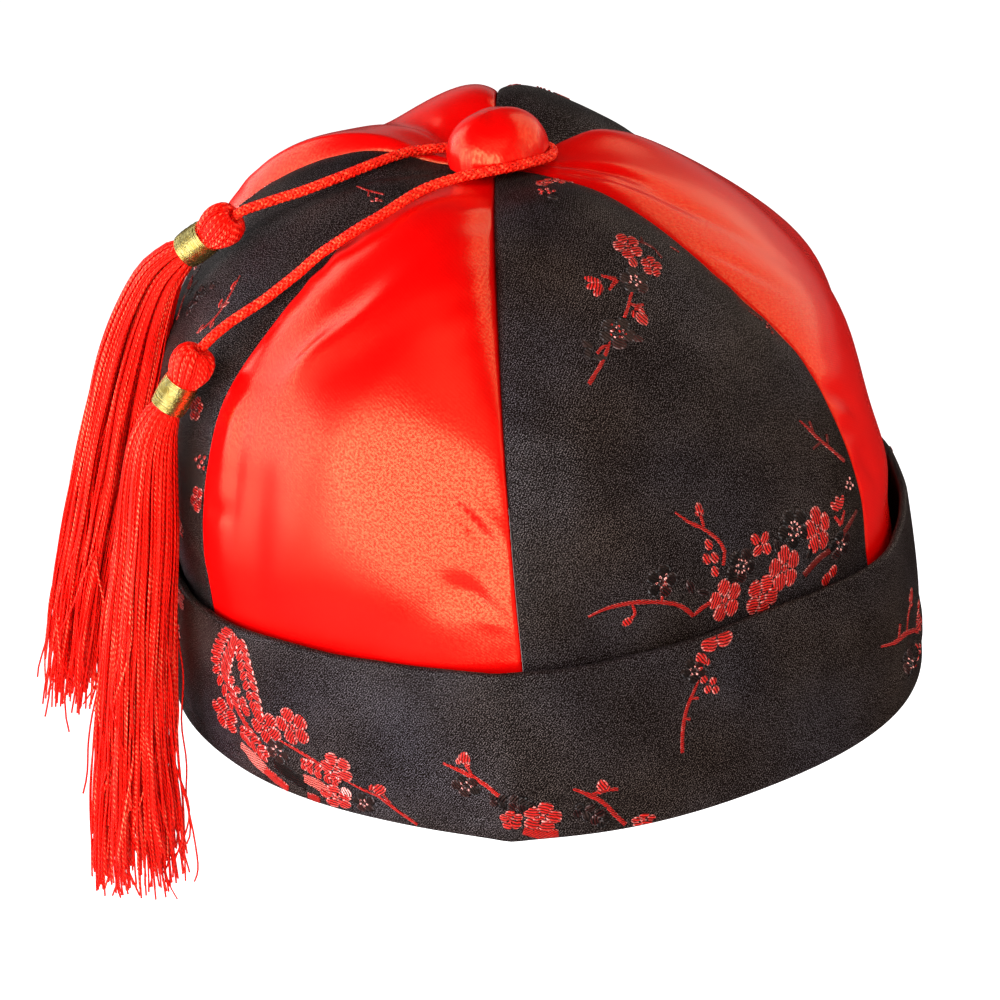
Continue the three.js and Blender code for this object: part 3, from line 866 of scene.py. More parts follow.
class Weaver:
    """Collects the woven shapes of one cloth, which are placed on its flat pattern."""

    def __init__(self, cloth, seed):
        self.cloth = cloth
        self.chance = random.Random(seed)
        self.places, self.faces, self.tones, self.edges, self.threads = [], [], [], [], []
        self.shift, self.flip = (0, 0), 1

    def move(self, across=0, up=0, flip=False):
        self.shift, self.flip = (across, up), -1 if flip else 1

    def add(self, places, faces, tone, edges, slant, fine=1.0):
        """Places are across, up and lift; slant is the way that the ribs run, in degrees."""
        middle_u = self.shift[0] + self.flip * np.mean([place[0] for place in places])
        if not self.cloth.holds(middle_u, self.shift[1] + np.mean([place[1] for place in places])):
            return
        first = len(self.places)
        run = math.radians(slant)
        tone += self.chance.uniform(-0.07, 0.07)
        for (u, v, lift), edge in zip(places, edges):
            self.places.append((self.shift[0] + self.flip * u, self.shift[1] + v, lift))
            across = u * math.cos(run) + v * math.sin(run)
            up = v * math.cos(run) - u * math.sin(run)
            self.threads.append((fine * across, fine * up, tone))
            self.tones.append(min(max(tone, 0), 1))
            self.edges.append(edge)
        for face in faces:
            corners = [first + i for i in face]
            self.faces.append(tuple(corners[::self.flip]))

    def patch(self, outline, tone, slant=0, rise=RISE):
        """A low dome over an outline that runs anticlockwise."""
        middle_u = sum(u for u, _ in outline) / len(outline)
        middle_v = sum(v for _, v in outline) / len(outline)
        places, edges = [(middle_u, middle_v, rise)], [0]
        rings = ((0.5, 0, rise), (0.85, 0, 0.85 * rise), (1, 0, 0.45 * rise), (1, SHADOW_LINE_WIDTH, EDGE))
        for share, grown, lift in rings:
            for u, v in outline:
                out_u, out_v = u - middle_u, v - middle_v
                reach = share + grown / math.hypot(out_u, out_v)
                places.append((middle_u + reach * out_u, middle_v + reach * out_v, lift))
                edges.append(share + grown)
        places.append((middle_u, middle_v, UNDERSIDE))
        edges.append(0)
        count = len(outline)
        faces = []
        for i in range(count):
            j = (i + 1) % count
            faces.append((0, 1 + i, 1 + j))
            for ring in range(3):
                low = 1 + ring * count
                faces.append((low + i, low + count + i, low + count + j, low + j))
            faces.append((1 + 3 * count + i, len(places) - 1, 1 + 3 * count + j))
        self.add(places, faces, tone, edges, slant)

    def ribbon(self, line, widths, tone, slant=0, rise=RISE):
        """A strip along a line, with a width at each end and at its middle."""
        steps = 3 * len(line) + 2
        spots = np.linspace(0, len(line) - 1, steps)
        path = curve_through(line, spots)
        wide = smooth(np.array(widths, float), np.linspace(0, len(widths) - 1, steps))
        ahead = np.gradient(path, axis=0)
        left = np.stack([-ahead[:, 1], ahead[:, 0]], axis=-1)
        left /= np.linalg.norm(left, axis=1, keepdims=True)
        places, edges = [], []
        shoulder = 0.7 * rise
        section = ((1, EDGE), (0.85, shoulder), (0, rise), (-0.85, shoulder), (-1, EDGE), (0, UNDERSIDE))
        for step in range(steps):
            ragged = wide[step] * (1 + self.chance.uniform(-0.12, 0.12)) / 2
            for side, lift in section:
                places.append((*(path[step] + left[step] * side * ragged), lift))
                edges.append(abs(side))
        size = len(section)
        faces = ring_faces(steps, size)
        faces.append(tuple(range(size))[::-1])
        faces.append(tuple((steps - 1) * size + i for i in range(size)))
        self.add(places, faces, tone, edges, slant, RIBBON_RIBS)

# %% [markdown]
# The shapes themselves are few: a petal, a blossom of five, a closed bud on its calyx, a fan
# bud, a feathered leaf, a twig and a scatter of stamens. All sprays are charted from them.

# %% Draw the blossoms and buds
CORNERS = 14  # points of a smooth outline


def swung(u, v, x, y, degrees):
    """The place that lies x and y from another, on axes that are turned by some degrees."""
    run = math.radians(degrees)
    return u + x * math.cos(run) - y * math.sin(run), v + x * math.sin(run) + y * math.cos(run)


def oval(u, v, wide, tall, turn=0, pointed=0.0, corners=CORNERS):
    """An oval outline whose top end can be drawn to a point."""
    outline = []
    for corner in range(corners):
        angle = corner / corners * TURN
        x = wide / 2 * math.cos(angle) * (1 - pointed * max(math.sin(angle), 0))
        outline.append(swung(u, v, x, tall / 2 * math.sin(angle), turn))
    return outline


def dabs(w, places, wide, tall, tone, slant=None, pointed=0.1, corners=10):
    """Small ovals, each at its place and turn; without a slant the ribs follow the turn."""
    for u, v, turn in places:
        outline = oval(u, v, wide, tall, turn, pointed, corners)
        w.patch(outline, tone, turn if slant is None else slant)


def petal(w, u, v, turn, wide, tall, tone, slant):
    """One petal of a blossom, rounder outwards, with a thin gap to the next."""
    outline = []
    for corner in range(CORNERS):
        angle = corner / CORNERS * TURN
        out = 0.59 + 0.41 * math.cos(angle)
        side = 0.38 * math.sin(angle) * (1 + 0.30 * math.cos(angle))
        x, y = swung(0, 0, out, side, turn)
        outline.append((u + x * wide / 2, v + y * tall / 2))
    w.patch(outline, tone, slant)


def flower(w, u, v, wide, tall, turn=90, tone=RED, slant=76):
    for number in range(5):
        petal(w, u, v, turn + 72 * number, wide, tall, tone, slant + 8 * (number % 2))
    w.patch(oval(u, v, wide * 0.16, tall * 0.16, corners=8), tone, slant)
    for number in range(5):
        angle = math.radians(turn + 36 + 72 * number)
        spot = (u + wide * 0.17 * math.cos(angle), v + tall * 0.17 * math.sin(angle))
        dot = PINK if tone == BLACK else RED if number % 2 else BLACK
        w.patch(oval(*spot, 0.66, 0.66, corners=6), dot, slant, rise=RISE + 0.14)


def speckled(w, u, v, wide, tall, turn=90):
    """A black blossom, seen only by the sheen of its edge and by its stamens."""
    flower(w, u, v, wide, tall, turn, BLACK, 35)


def stamens(w, u, v, spread, count, tone=PINK, size=0.72):
    for number in range(count):
        angle = 2.4 * number
        reach = spread * math.sqrt((number + 0.5) / count) / 2
        spot = (u + reach * math.cos(angle), v + reach * math.sin(angle))
        w.patch(oval(*spot, size, size * 1.1, corners=6), tone, 0, rise=RISE + 0.06)


def bud(w, u, v, wide, tall, turn=0, tone=RED):
    """A closed bud that points the way turn says, from up, with its calyx behind it."""
    w.patch(oval(u, v, wide, tall, turn, pointed=0.35), tone, turn + 15)
    for side in (-1, 1):
        base = swung(u, v, side * wide * 0.42, -tall * 0.50, turn)
        calyx = oval(*base, wide * 0.40, tall * 0.52, turn - side * 28, 0.5, 8)
        w.patch(calyx, tone, turn - side * 40)


def fan(w, u, v, size, turn=0):
    """A bud that is opening: three drops above a calyx like a V."""
    for spread in (-38, 0, 38):
        spot = swung(u, v, 0, size * 0.34, turn + spread)
        w.patch(oval(*spot, size * 0.26, size * 0.56, turn + spread, 0, 10), RED, turn + 60)
    foot = swung(u, v, 0, -size * 0.52, turn)
    for spread in (-34, 34):
        tip = swung(*foot, 0, size * 0.52, turn + spread)
        w.ribbon([foot, tip], (size * 0.20, size * 0.15, size * 0.10), RED, turn)

# %% [markdown]
# A leaf of this pattern is a row of short ribs on each side of a midrib, like a feather, and
# the larger leaves have pale tips along one side. A twig is one ribbon that tapers.

# %% Draw the leaves and twigs
BARB_SLANT = 52  # degrees that a leaf's ribs lean out from its midrib
BARB_GAP = 2.05


def leaf(w, line, wide, tone=RED):
    """A feathered leaf: pairs of broad ribs that slant forwards from its midrib."""
    count = max(3, round(walked_along(np.array(line, float))[-1] / BARB_GAP))
    path = curve_through(line, np.linspace(0, len(line) - 1, count))
    ahead = np.gradient(path, axis=0)
    for step in range(count):
        heading = math.atan2(ahead[step][1], ahead[step][0])
        fullness = 0.60 + 0.40 * math.sin(math.pi * (step + 0.7) / count)
        reach = wide / 2 * fullness / math.sin(math.radians(BARB_SLANT))
        for side in (-1, 1):
            way = heading + side * math.radians(BARB_SLANT)
            out = np.array([math.cos(way), math.sin(way)])
            turn = math.degrees(way) - 90
            barb = oval(*(path[step] + reach * 0.52 * out), 2.3, reach, turn, 0.1, 10)
            w.patch(barb, tone, turn, rise=RISE + 0.04 * side)
            if tone == RED and side == 1 and wide > 4:
                tip = path[step] + reach * 1.04 * out
                pale = oval(*tip, 0.7, 1.3, math.degrees(heading) - 90, 0, 6)
                w.patch(pale, PINK, 0, rise=RISE + 0.1)


def twig(w, *line, wide=0.9, tone=RED):
    w.ribbon(line, (0.5 * wide, wide, wide, 1.1 * wide), tone, 60, rise=RISE * 0.9)

# %% [markdown]
# The charts are in millimetres on the flat gore: across from its middle line, and up from
# its rim. One spray sits high on a gore and one sits low, by the cuff.

# %% Chart the sprays of the gores
def upper_spray(w):
    flower(w, 7.5, 143.0, 8.2, 8.4, 20)
    flower(w, 10.6, 135.8, 6.2, 6.2, 60)
    w.patch(oval(6.0, 138.2, 3.0, 2.4, 70), RED, 10)
    fan(w, -4.8, 135.0, 7.4, 90)
    speckled(w, 3.6, 133.4, 8.2, 8.0, 75)
    stamens(w, 3.4, 133.4, 3.6, 6)
    twig(w, (2.2, 131.6), (0.2, 129.6), (-1.6, 127.4), (-4.0, 124.9), wide=0.85)
    twig(w, (-1.0, 128.2), (0.6, 127.0), (2.4, 126.8), wide=0.9)
    twig(w, (0.5, 127.0), (0.0, 125.8), wide=1.2)
    bud(w, 0.3, 123.4, 3.1, 3.9, 190)
    speckled(w, -7.4, 121.6, 9.2, 8.6, 40)
    stamens(w, -7.4, 121.8, 4.6, 7, RED)
    buds = (-15.8, 120.6, 30), (-14.2, 116.6, 80), (-16.6, 118.4, -20), (-3.4, 119.0, 60)
    dabs(w, buds, 1.8, 3.4, BLACK, 30, pointed=0.4, corners=8)
    twig(w, (-10.0, 120.2), (-11.6, 118.2), (-14.6, 115.0), (-17.2, 112.8), (-19.4, 110.8), wide=1.0)
    twig(w, (-10.8, 119.2), (-12.6, 119.0), (-14.4, 117.8), wide=0.8)
    twig(w, (11.4, 143.6), (13.2, 142.4), (15.0, 140.2), wide=0.7, tone=0.30)
    twig(w, (13.4, 144.4), (12.6, 142.4), wide=0.7, tone=0.30)
    twig(w, (15.0, 140.2), (15.4, 137.0), wide=0.7, tone=0.30)
    twig(w, (21.6, 139.4), (23.6, 137.2), wide=0.5, tone=0.36)
    twig(w, (37.2, 115.6), (39.0, 113.2), (39.6, 111.4), wide=0.9, tone=0.32)
    stamens(w, 39.8, 109.0, 3.0, 4, 0.4, 0.8)


def crown_spray(w):
    """What the top of the gore has left of the next spray."""
    petals = (
        (2.6, 178.6, 70), (4.0, 176.6, 40), (5.4, 178.9, 80), (6.6, 176.4, 60), (8.4, 177.8, 70),
        (9.4, 175.2, 50), (11.4, 173.6, 60), (7.4, 174.2, 80), (1.4, 176.8, 30),
    )
    dabs(w, petals, 1.7, 3.0, 0.62, 30, pointed=0.2, corners=8)
    stamens(w, -0.6, 171.0, 4.6, 7, RED, 1.0)
    twig(w, (1.2, 175.0), (4.0, 176.4), wide=0.9)
    dabs(w, [(-1.2, 167.0, 20)], 2.0, 3.0, BLACK, 30, pointed=0.2)


def lower_spray(w):
    flower(w, 4.0, 48.6, 9.8, 12.2, 95, slant=-30)
    flower(w, 15.2, 45.6, 9.8, 12.4, 60, slant=80)
    flower(w, 22.4, 51.2, 9.6, 13.0, 20, slant=-10)
    flower(w, 33.8, 57.6, 9.0, 13.0, 90, slant=10)
    dabs(w, ((14.2, 62.0, 30), (17.2, 61.4, -30), (14.6, 58.8, 120), (17.4, 58.4, 200)), 2.6, 3.4, RED)
    fan(w, 42.4, 59.4, 7.0)
    leaves = (0.4, 65.0, 20), (-0.8, 61.6, 20), (1.6, 61.2, 20), (1.2, 57.6, 20)
    dabs(w, leaves, 2.2, 3.2, RED, 30, pointed=0.2)
    dabs(w, ((36.0, 42.6, -40), (38.6, 43.8, -40)), 3.0, 3.6, RED, 20)
    speckled(w, 9.2, 56.4, 9.0, 9.6, 50)
    stamens(w, 9.2, 56.2, 5.0, 7)
    speckled(w, 26.4, 60.8, 10.0, 11.0, 110)
    stamens(w, 26.4, 60.4, 5.2, 8)
    speckled(w, -13.8, 59.4, 8.4, 9.0, 70)
    speckled(w, 41.6, 50.2, 9.0, 8.0, 20)
    twig(w, (50.0, 56.4), (44.6, 53.6), (38.8, 50.6), (33.6, 49.6), (28.6, 46.8), wide=2.0, tone=0.33)
    twig(w, (-7.2, 75.6), (-3.8, 72.0), (-0.4, 69.4), (3.4, 65.2), (4.8, 61.6), wide=1.0)
    twig(w, (4.8, 62.0), (3.8, 58.4), wide=1.0)
    bud(w, -0.6, 74.8, 2.0, 2.8, 0)
    twig(w, (-0.4, 73.0), (-0.1, 69.8), wide=0.9)
    twig(w, (-33.2, 54.4), (-28.4, 55.8), (-21.6, 55.8), (-14.0, 53.8), (-9.0, 51.2), (-5.4, 47.2), wide=1.25)
    twig(w, (-5.4, 47.2), (-3.0, 48.6), (-0.4, 49.4), wide=1.3, tone=0.4)
    dabs(w, [(-23.4, 50.8, 20)], 3.0, 2.2, RED)
    twig(w, (-22.0, 55.4), (-21.4, 52.6), (-23.0, 51.0), wide=0.9)
    twig(w, (-14.2, 53.6), (-13.8, 57.0), (-12.8, 59.4), wide=0.9)
    stamens(w, -13.4, 60.0, 3.0, 4)
    twig(w, (36.2, 86.0), (39.6, 82.0), (42.6, 78.2), (46.2, 73.8), (49.0, 70.6), wide=1.0, tone=0.34)
    twig(w, (40.4, 81.0), (39.8, 84.6), wide=0.7, tone=0.34)
    twig(w, (42.2, 78.4), (38.8, 77.8), wide=0.7, tone=0.34)
    twig(w, (44.0, 76.4), (45.0, 79.4), wide=0.7, tone=0.34)
    stamens(w, 48.6, 64.4, 4.0, 6)
    buds = (-2.4, 53.0, 60), (-6.2, 55.8, 20), (6.0, 54.0, 80), (30.6, 52.6, -30), (20.6, 58.0, 10)
    dabs(w, buds, 2.2, 4.2, BLACK, pointed=0.5, corners=8)

# %% [markdown]
# The left gore was cut from another place of the cloth, so it has a chart of its own. The
# cuff is charted from the middle of its front, and up from its lower edge.

# %% Chart the left gore and the cuff
def left_spray(w):
    twig(w, (11.8, 129.8), (14.4, 124.6), (16.4, 118.6), (15.8, 113.6), (14.5, 110.8), wide=0.5, tone=0.40)
    leaves = (12.8, 126.8, 20), (15.9, 121.6, -20), (14.2, 121.0, 30), (17.3, 115.6, 25), (14.9, 112.4, 10)
    dabs(w, leaves, 1.1, 2.8, 0.42, pointed=0.5, corners=8)
    leaf(w, [(6.0, 122.4), (4.8, 119.2), (4.2, 115.6)], 2.4, BLACK)
    leaf(w, [(2.0, 119.0), (2.6, 115.4), (4.2, 112.0)], 2.4, BLACK)
    flower(w, 30.5, 94.7, 5.6, 7.0, 30, 0.40)
    stamens(w, 38.0, 82.6, 5.0, 6, 0.42, 1.1)
    flower(w, 38.8, 71.6, 6.4, 7.6, 60, 0.40)
    twig(w, (20.0, 62.0), (24.6, 59.0), (29.0, 56.4), wide=1.0)
    bud(w, 27.9, 60.2, 2.8, 3.8, 20)
    twig(w, (3.8, 168.8), (7.0, 170.4), (10.1, 173.1), wide=0.55, tone=0.46)
    twig(w, (7.4, 170.7), (9.4, 169.6), wide=0.5, tone=0.46)
    stamens(w, 11.6, 170.2, 2.4, 4, RED, 0.7)


def peak_spray(w):
    """The few threads of the next repeat that show at the very back of the crown."""
    twig(w, (25.4, 152.6), (24.0, 156.8), (20.6, 159.2), wide=1.3, tone=0.42)
    twig(w, (23.4, 158.4), (20.4, 156.6), wide=0.9, tone=0.42)
    twig(w, (11.8, 153.0), (9.4, 154.0), (6.4, 153.6), wide=1.0, tone=0.42)
    stamens(w, 14.8, 154.0, 4.0, 5, 0.40, 0.8)


def cuff_cluster(w):
    """The largest spray, charted about its place at the left of the cuff."""
    leaf(w, [(-91.6, 43.2), (-96.4, 37.0), (-99.6, 30.0), (-96.2, 22.2)], 9.0)
    leaf(w, [(-89.4, 41.8), (-88.2, 33.0), (-86.0, 23.0)], 5.8)
    leaf(w, [(-95.2, 29.0), (-92.0, 24.0), (-90.4, 21.0)], 3.6)
    flower(w, -101.6, 15.6, 12.6, 10.2, 20, slant=-60)
    flower(w, -83.4, 18.6, 11.0, 10.2, 50, slant=-40)
    flower(w, -73.6, 21.4, 11.4, 10.6, 110, slant=-30)
    twig(w, (-95.4, 22.0), (-91.8, 17.0), (-86.6, 12.4), wide=2.0)
    leaf(w, [(-94.6, 13.6), (-90.4, 12.2), (-86.2, 9.6)], 6.0)
    w.ribbon([(-96.0, 8.6), (-91.6, 6.6), (-86.6, 4.4)], (3.0, 4.4, 3.4), 0.8, -60)
    w.ribbon([(-87.4, 4.6), (-83.0, 3.0), (-78.6, 1.4)], (3.0, 3.6, 2.0), RED, 40)
    speckled(w, -80.2, 12.4, 8.6, 8.0, 60)
    w.ribbon([(-82.4, 7.8), (-77.4, 6.4), (-71.8, 4.4)], (3.2, 4.6, 3.2), BLACK, -60)
    twig(w, (-79.0, 16.0), (-73.2, 14.8), (-66.4, 12.8), (-60.0, 10.0), wide=1.0)
    leaf(w, [(-72.0, 11.2), (-67.6, 10.6), (-62.0, 9.0)], 4.2)
    flower(w, -60.6, 12.8, 10.0, 8.8, 40)
    w.ribbon([(-72.4, 6.6), (-68.2, 6.2), (-64.2, 5.0)], (2.8, 3.6, 2.4), 0.8, -60)
    w.ribbon([(-71.6, 1.8), (-67.6, 1.4)], (2.0, 2.4, 2.0), RED, 40)
    flower(w, -62.0, 4.0, 10.4, 6.6, 30)
    dabs(w, [(-58.8, 5.8, 20)], 3.4, 3.6, PINK)
    speckled(w, -53.4, 4.4, 6.6, 5.6, 30)
    bud(w, -48.2, 9.2, 3.4, 4.0, -60, 0.42)
    twig(w, (-57.4, 9.6), (-50.6, 7.4), (-44.0, 4.4), (-38.2, 1.2), wide=0.9)
    twig(w, (-47.4, 8.0), (-45.6, 5.4), wide=0.9)


def cuff_front(w):
    twig(w, (-29.2, 20.0), (-24.4, 18.4), (-19.0, 16.0), (-14.2, 12.6), wide=1.3)
    bud(w, -23.2, 22.2, 3.2, 3.4, -20)
    twig(w, (-23.0, 20.8), (-21.4, 17.4), wide=1.0)
    speckled(w, -23.4, 14.6, 8.2, 6.6, 40)
    leaf(w, [(-17.0, 11.6), (-12.0, 11.4), (-8.0, 10.0)], 4.0, BLACK)
    flower(w, -4.6, 6.4, 9.8, 8.6, 70, slant=70)
    flower(w, -12.2, 6.4, 6.0, 5.4, 20)
    w.ribbon([(-9.4, 3.4), (-5.6, 2.0), (-1.0, 1.6)], (2.4, 3.0, 2.2), RED, 60)
    twig(w, (3.6, 13.4), (7.0, 11.4), (10.4, 8.8), (13.0, 5.0), (15.6, 1.6), wide=1.3)
    twig(w, (7.4, 11.2), (11.2, 11.8), (14.6, 11.6), wide=1.0)
    bud(w, 10.8, 13.4, 2.8, 3.0, 10)
    leaf(w, [(3.8, 7.6), (7.2, 6.2), (9.8, 3.8)], 4.4, BLACK)
    flower(w, 20.2, 1.8, 6.4, 3.4, 10)


def cuff_right(w):
    flower(w, 45.6, 45.0, 12.4, 10.4, 90)
    bud(w, 40.2, 39.4, 3.2, 3.6, 20)
    speckled(w, 38.0, 37.2, 7.2, 6.4, 40)
    leaves = (40.2, 34.2, 20), (42.6, 33.0, 20), (40.8, 31.4, 20), (43.0, 30.6, 20)
    dabs(w, leaves, 2.2, 2.0, RED, corners=8)
    twig(w, (38.8, 34.4), (36.6, 31.4), (34.2, 27.6), (32.6, 22.4), (31.9, 17.2), wide=1.0)
    twig(w, (36.0, 30.4), (38.0, 30.0), wide=0.7)
    twig(w, (33.2, 26.0), (35.0, 25.2), wide=0.7)


def cuff_end(w):
    twig(w, (97.0, 22.6), (104.0, 20.6), (111.0, 19.6), (119.0, 16.4), (126.0, 12.6), wide=1.4)
    twig(w, (106.0, 20.4), (108.0, 24.0), wide=1.1)
    twig(w, (112.0, 19.2), (115.0, 23.0), (119.0, 24.4), wide=1.1)
    bud(w, 121.0, 26.0, 3.4, 4.2, -60)
    flower(w, 130.0, 15.4, 10.0, 8.4, 20)
    stamens(w, 121.0, 8.6, 6.0, 8, RED, 1.2)
    speckled(w, 112.0, 10.4, 8.4, 7.4, 40)

# %% [markdown]
# Every patch has written on its points where they are along and across its ribs, its tone
# and how near its edge they are. The finish draws broken ribs with painted shade in the
# hollows between them, glints of pale thread near the edge, and a painted shadow line round it.

# %% Mix the pattern threads
RIB_PERIOD = 0.76
RIB_DEPTH = 0.0003
THREAD_TONES = [
    (0.0, (0.0030, 0.0026, 0.0026)),
    (0.16, (0.004, 0.003, 0.003)),
    (0.30, (0.11, 0.004, 0.003)),
    (0.42, (0.46, 0.007, 0.005)),
    (0.60, (0.64, 0.012, 0.008)),
    (0.85, (0.80, 0.15, 0.11)),
    (1.0, (0.90, 0.38, 0.33)),
]


def woven_paint(net):
    thread = net.written("thread", "Vector")
    tone, edge = net.written("tone"), net.written("edge")
    across, along, _ = net.split(thread)
    broken = net.noise(thread, 1.3, 3)
    phase = across * (TURN / RIB_PERIOD) + (along * 1.7).sine() * 0.7 + broken * 5
    rib = phase.sine() * 0.5 + 0.5
    thread_colour = net.node("ShaderNodeValToRGB", {"stops": THREAD_TONES}, [tone])
    # painted shade: the hollows between the ribs are dark red
    shaded_hollows = net.colours((rib * 2.2 - 0.5).clamped(), (0.07, 0.001, 0.001), thread_colour)
    ribbed = net.colours((1 - tone * 6).clamped(), shaded_hollows, thread_colour)
    pale = net.colours((tone * 3).clamped(), (0.13, 0.125, 0.125), (0.95, 0.38, 0.32))
    glint = ((edge - 0.78) * 2.6 + (broken - 0.52) * 5.0).clamped() * rib
    glinting = net.colours(glint * 0.85, ribbed, pale)
    # painted shadow: a dark line round each patch
    colour = net.colours((edge - 1.02) * 12, glinting, (0.004, 0.003, 0.003))
    bump = net.bump(0.8, RIB_DEPTH, rib + broken * 0.4)
    return {"Base Color": colour, "Roughness": 0.50 - rib * 0.2, "Normal": bump}


pattern_thread = finish("pattern_thread", woven_paint, Specular_IOR_Level=0.4, Specular_Tint=(1, 0.6, 0.5, 1))

# %% [markdown]
# Now the charts are woven into the cloths. The hidden gores and the cuff's back carry the
# same sprays, moved and turned over, because the cloth is one cloth.

# %% Weave the sprays into the cloths
def weave(name, cloth, seed, *sprays):
    """One mesh of all the sprays of a cloth, with what its finish needs on its points."""
    w = Weaver(cloth, seed)
    for spray, across, up, flip in sprays:
        w.move(across, up, flip)
        spray(w)
    u, v, lift = (np.array(column) for column in zip(*w.places))
    piece = add_piece(name, cloth.surface(*cloth.unflat(u, v), lift), w.faces, pattern_thread)
    for key, kind, values in (
        ("tone", "FLOAT", w.tones), ("edge", "FLOAT", w.edges), ("thread", "FLOAT_VECTOR", w.threads),
    ):
        target = piece.data.attributes.new(key, kind, "POINT").data
        target.foreach_set("value" if kind == "FLOAT" else "vector", np.array(values, "f").ravel())
    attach(piece, "root")
    print(f"{name}: {len(w.faces)} faces")
    return piece


WOVEN = {  # each spray with how far it is moved, across and up, and whether it is turned over
    "black_front_right": (
        (upper_spray, -1.3, 0, False), (crown_spray, -0.4, 0, False), (lower_spray, -2, 0, False),
    ),
    "black_back_right": (
        (lower_spray, 4, 30, True), (upper_spray, -6, -76, False), (peak_spray, -6, 3, False),
    ),
    "black_left": ((left_spray, 0, 0, False), (lower_spray, -8, 8, True), (upper_spray, -20, -4, True)),
}
for number, (name, sprays) in enumerate(WOVEN.items()):
    flowers = weave(f"{name}_flowers", GORES[name], 40 + number, *sprays)

CUFF_WOVEN = (
    (cuff_cluster, 0, 0, False), (cuff_front, 0, 0, False), (cuff_right, 0, 0, False),
    (cuff_end, 0, 0, False), (cuff_cluster, 268, 0, False), (cuff_front, -230, 4, False),
    (cuff_right, -170, -2, False), (cuff_end, -300, 2, False),
)
cuff_flowers = weave("cuff_flowers", cuff, 50, *CUFF_WOVEN)

# %% [markdown]
# ## Growing threads
# Braids, wound thread and tassel strands are all the same thing: many copies of one line,
# each moved a little, and then given a thickness. Geometry Nodes do that well. This helper
# runs a tree on a bare line of points, keeps the result as a plain mesh, and writes on every
# thread how far along and around it a place is, so that a finish can follow its twist.

# %% Grow threads on a line of points
def grow(name, points, threads, material, sizes, attributes=None, place=None):
    """Run a tree of threads on a line of points, in millimetres, and keep a plain mesh."""
    mesh = bpy.data.meshes.new(name)
    links = [(i, i + 1) for i in range(len(points) - 1)]
    mesh.from_pydata([tuple(map(float, point)) for point in points], links, [])
    for key, values in (attributes or {}).items():
        mesh.attributes.new(key, "FLOAT", "POINT").data.foreach_set("value", list(values))
    piece = bpy.data.objects.new(name, mesh)
    bpy.context.collection.objects.link(piece)
    tree = bpy.data.node_groups.new(name, "GeometryNodeTree")
    tree.interface.new_socket("Line", in_out="INPUT", socket_type="NodeSocketGeometry")
    for key, value in sizes.items():
        kind = "NodeSocketInt" if isinstance(value, int) else "NodeSocketFloat"
        tree.interface.new_socket(key, in_out="INPUT", socket_type=kind)
    tree.interface.new_socket("Threads", in_out="OUTPUT", socket_type="NodeSocketGeometry")
    net = Net(tree)
    made = threads(net, net.node("NodeGroupInput"))
    made = net.node("GeometryNodeSetShadeSmooth", {}, [made])
    made = net.node("GeometryNodeRealizeInstances", {}, [made])
    made = net.node("GeometryNodeSetMaterial", {}, {"Geometry": made, "Material": material})
    net.node("NodeGroupOutput", {}, [made])
    modifier = piece.modifiers.new("threads", "NODES")
    modifier.node_group = tree
    for item in tree.interface.items_tree:
        if item.name in sizes:
            modifier[item.identifier] = sizes[item.name]
    evaluated = piece.evaluated_get(bpy.context.evaluated_depsgraph_get())
    result = bpy.data.meshes.new_from_object(evaluated)
    piece.modifiers.clear()
    result.transform(Matrix.Scale(MM, 4) @ (place or Matrix()))
    piece.data = result
    return piece


def attribute(net, name):
    return net.node("GeometryNodeInputNamedAttribute", {"data_type": "FLOAT"}, {"Name": name})


def store(net, geometry, name, value, kind="FLOAT"):
    settings = {"data_type": kind, "domain": "POINT"}
    values = {"Geometry": geometry, "Name": name, "Value": value}
    return net.node("GeometryNodeStoreNamedAttribute", settings, values)


def line_of(net, start, mode, amount):
    """The points that a tree is given, as a curve of so many points, or with a step."""
    line = net.node("GeometryNodeMeshToCurve", {}, [start["Line"]])
    values = {"Curve": line, mode.title(): amount}
    return net.node("GeometryNodeResampleCurve", {"mode": mode}, values)


def vector(net, operation, *values):
    return net.node("ShaderNodeVectorMath", {"operation": operation}, values)


def scaled(net, direction, by):
    return net.node("ShaderNodeVectorMath", {"operation": "SCALE"}, {0: direction, "Scale": by})


def chance(net, index, seed):
    """A number from 0 to 1 that stays with each copy."""
    return net.node("FunctionNodeRandomValue", {"data_type": "FLOAT"}, {"ID": index, "Seed": seed}, 1)


def spun(net, curve, index, radius, sides, seed):
    """Give lines a thickness and note the way along, around and the tone of each thread."""
    curve = store(net, curve, "along", net.node("GeometryNodeSplineParameter")["Length"])
    curve = store(net, curve, "tone", chance(net, index, seed))
    ring = net.node("GeometryNodeCurvePrimitiveCircle", {}, {"Resolution": sides, "Radius": radius})
    spot = scaled(net, net.node("GeometryNodeInputPosition"), 1 / radius)
    ring = store(net, ring, "around", spot, "FLOAT_VECTOR")
    values = {"Curve": curve, "Profile Curve": ring, "Fill Caps": True}
    return net.node("GeometryNodeCurveToMesh", {}, values)


def across_line(net):
    """Two directions square to a line, for moving its copies off it."""
    along = net.node("GeometryNodeInputTangent")
    first = net.node("GeometryNodeInputNormal")
    return first, vector(net, "CROSS_PRODUCT", along, first)


def moved(net, curve, offset):
    return net.node("GeometryNodeSetPosition", {}, {"Geometry": curve, "Offset": offset})


def copied(net, curve, amount):
    values = {"Geometry": curve, "Amount": amount}
    return net.node("GeometryNodeDuplicateElements", {"domain": "SPLINE"}, values)

# %% [markdown]
# A thread's finish follows its twist. Each thread is plied from finer ones, which show as
# slanting bright dashes, painted into the colour as highlights on the plies with painted shade
# between them. A sine along the thread, turned by the place around it, draws them.

# %% Mix the threads
PLY_DEPTH = 0.0001
TASSEL_TWIST = 1.7  # millimetres in which a thread's plies turn once
CORD_TWIST = 0.9


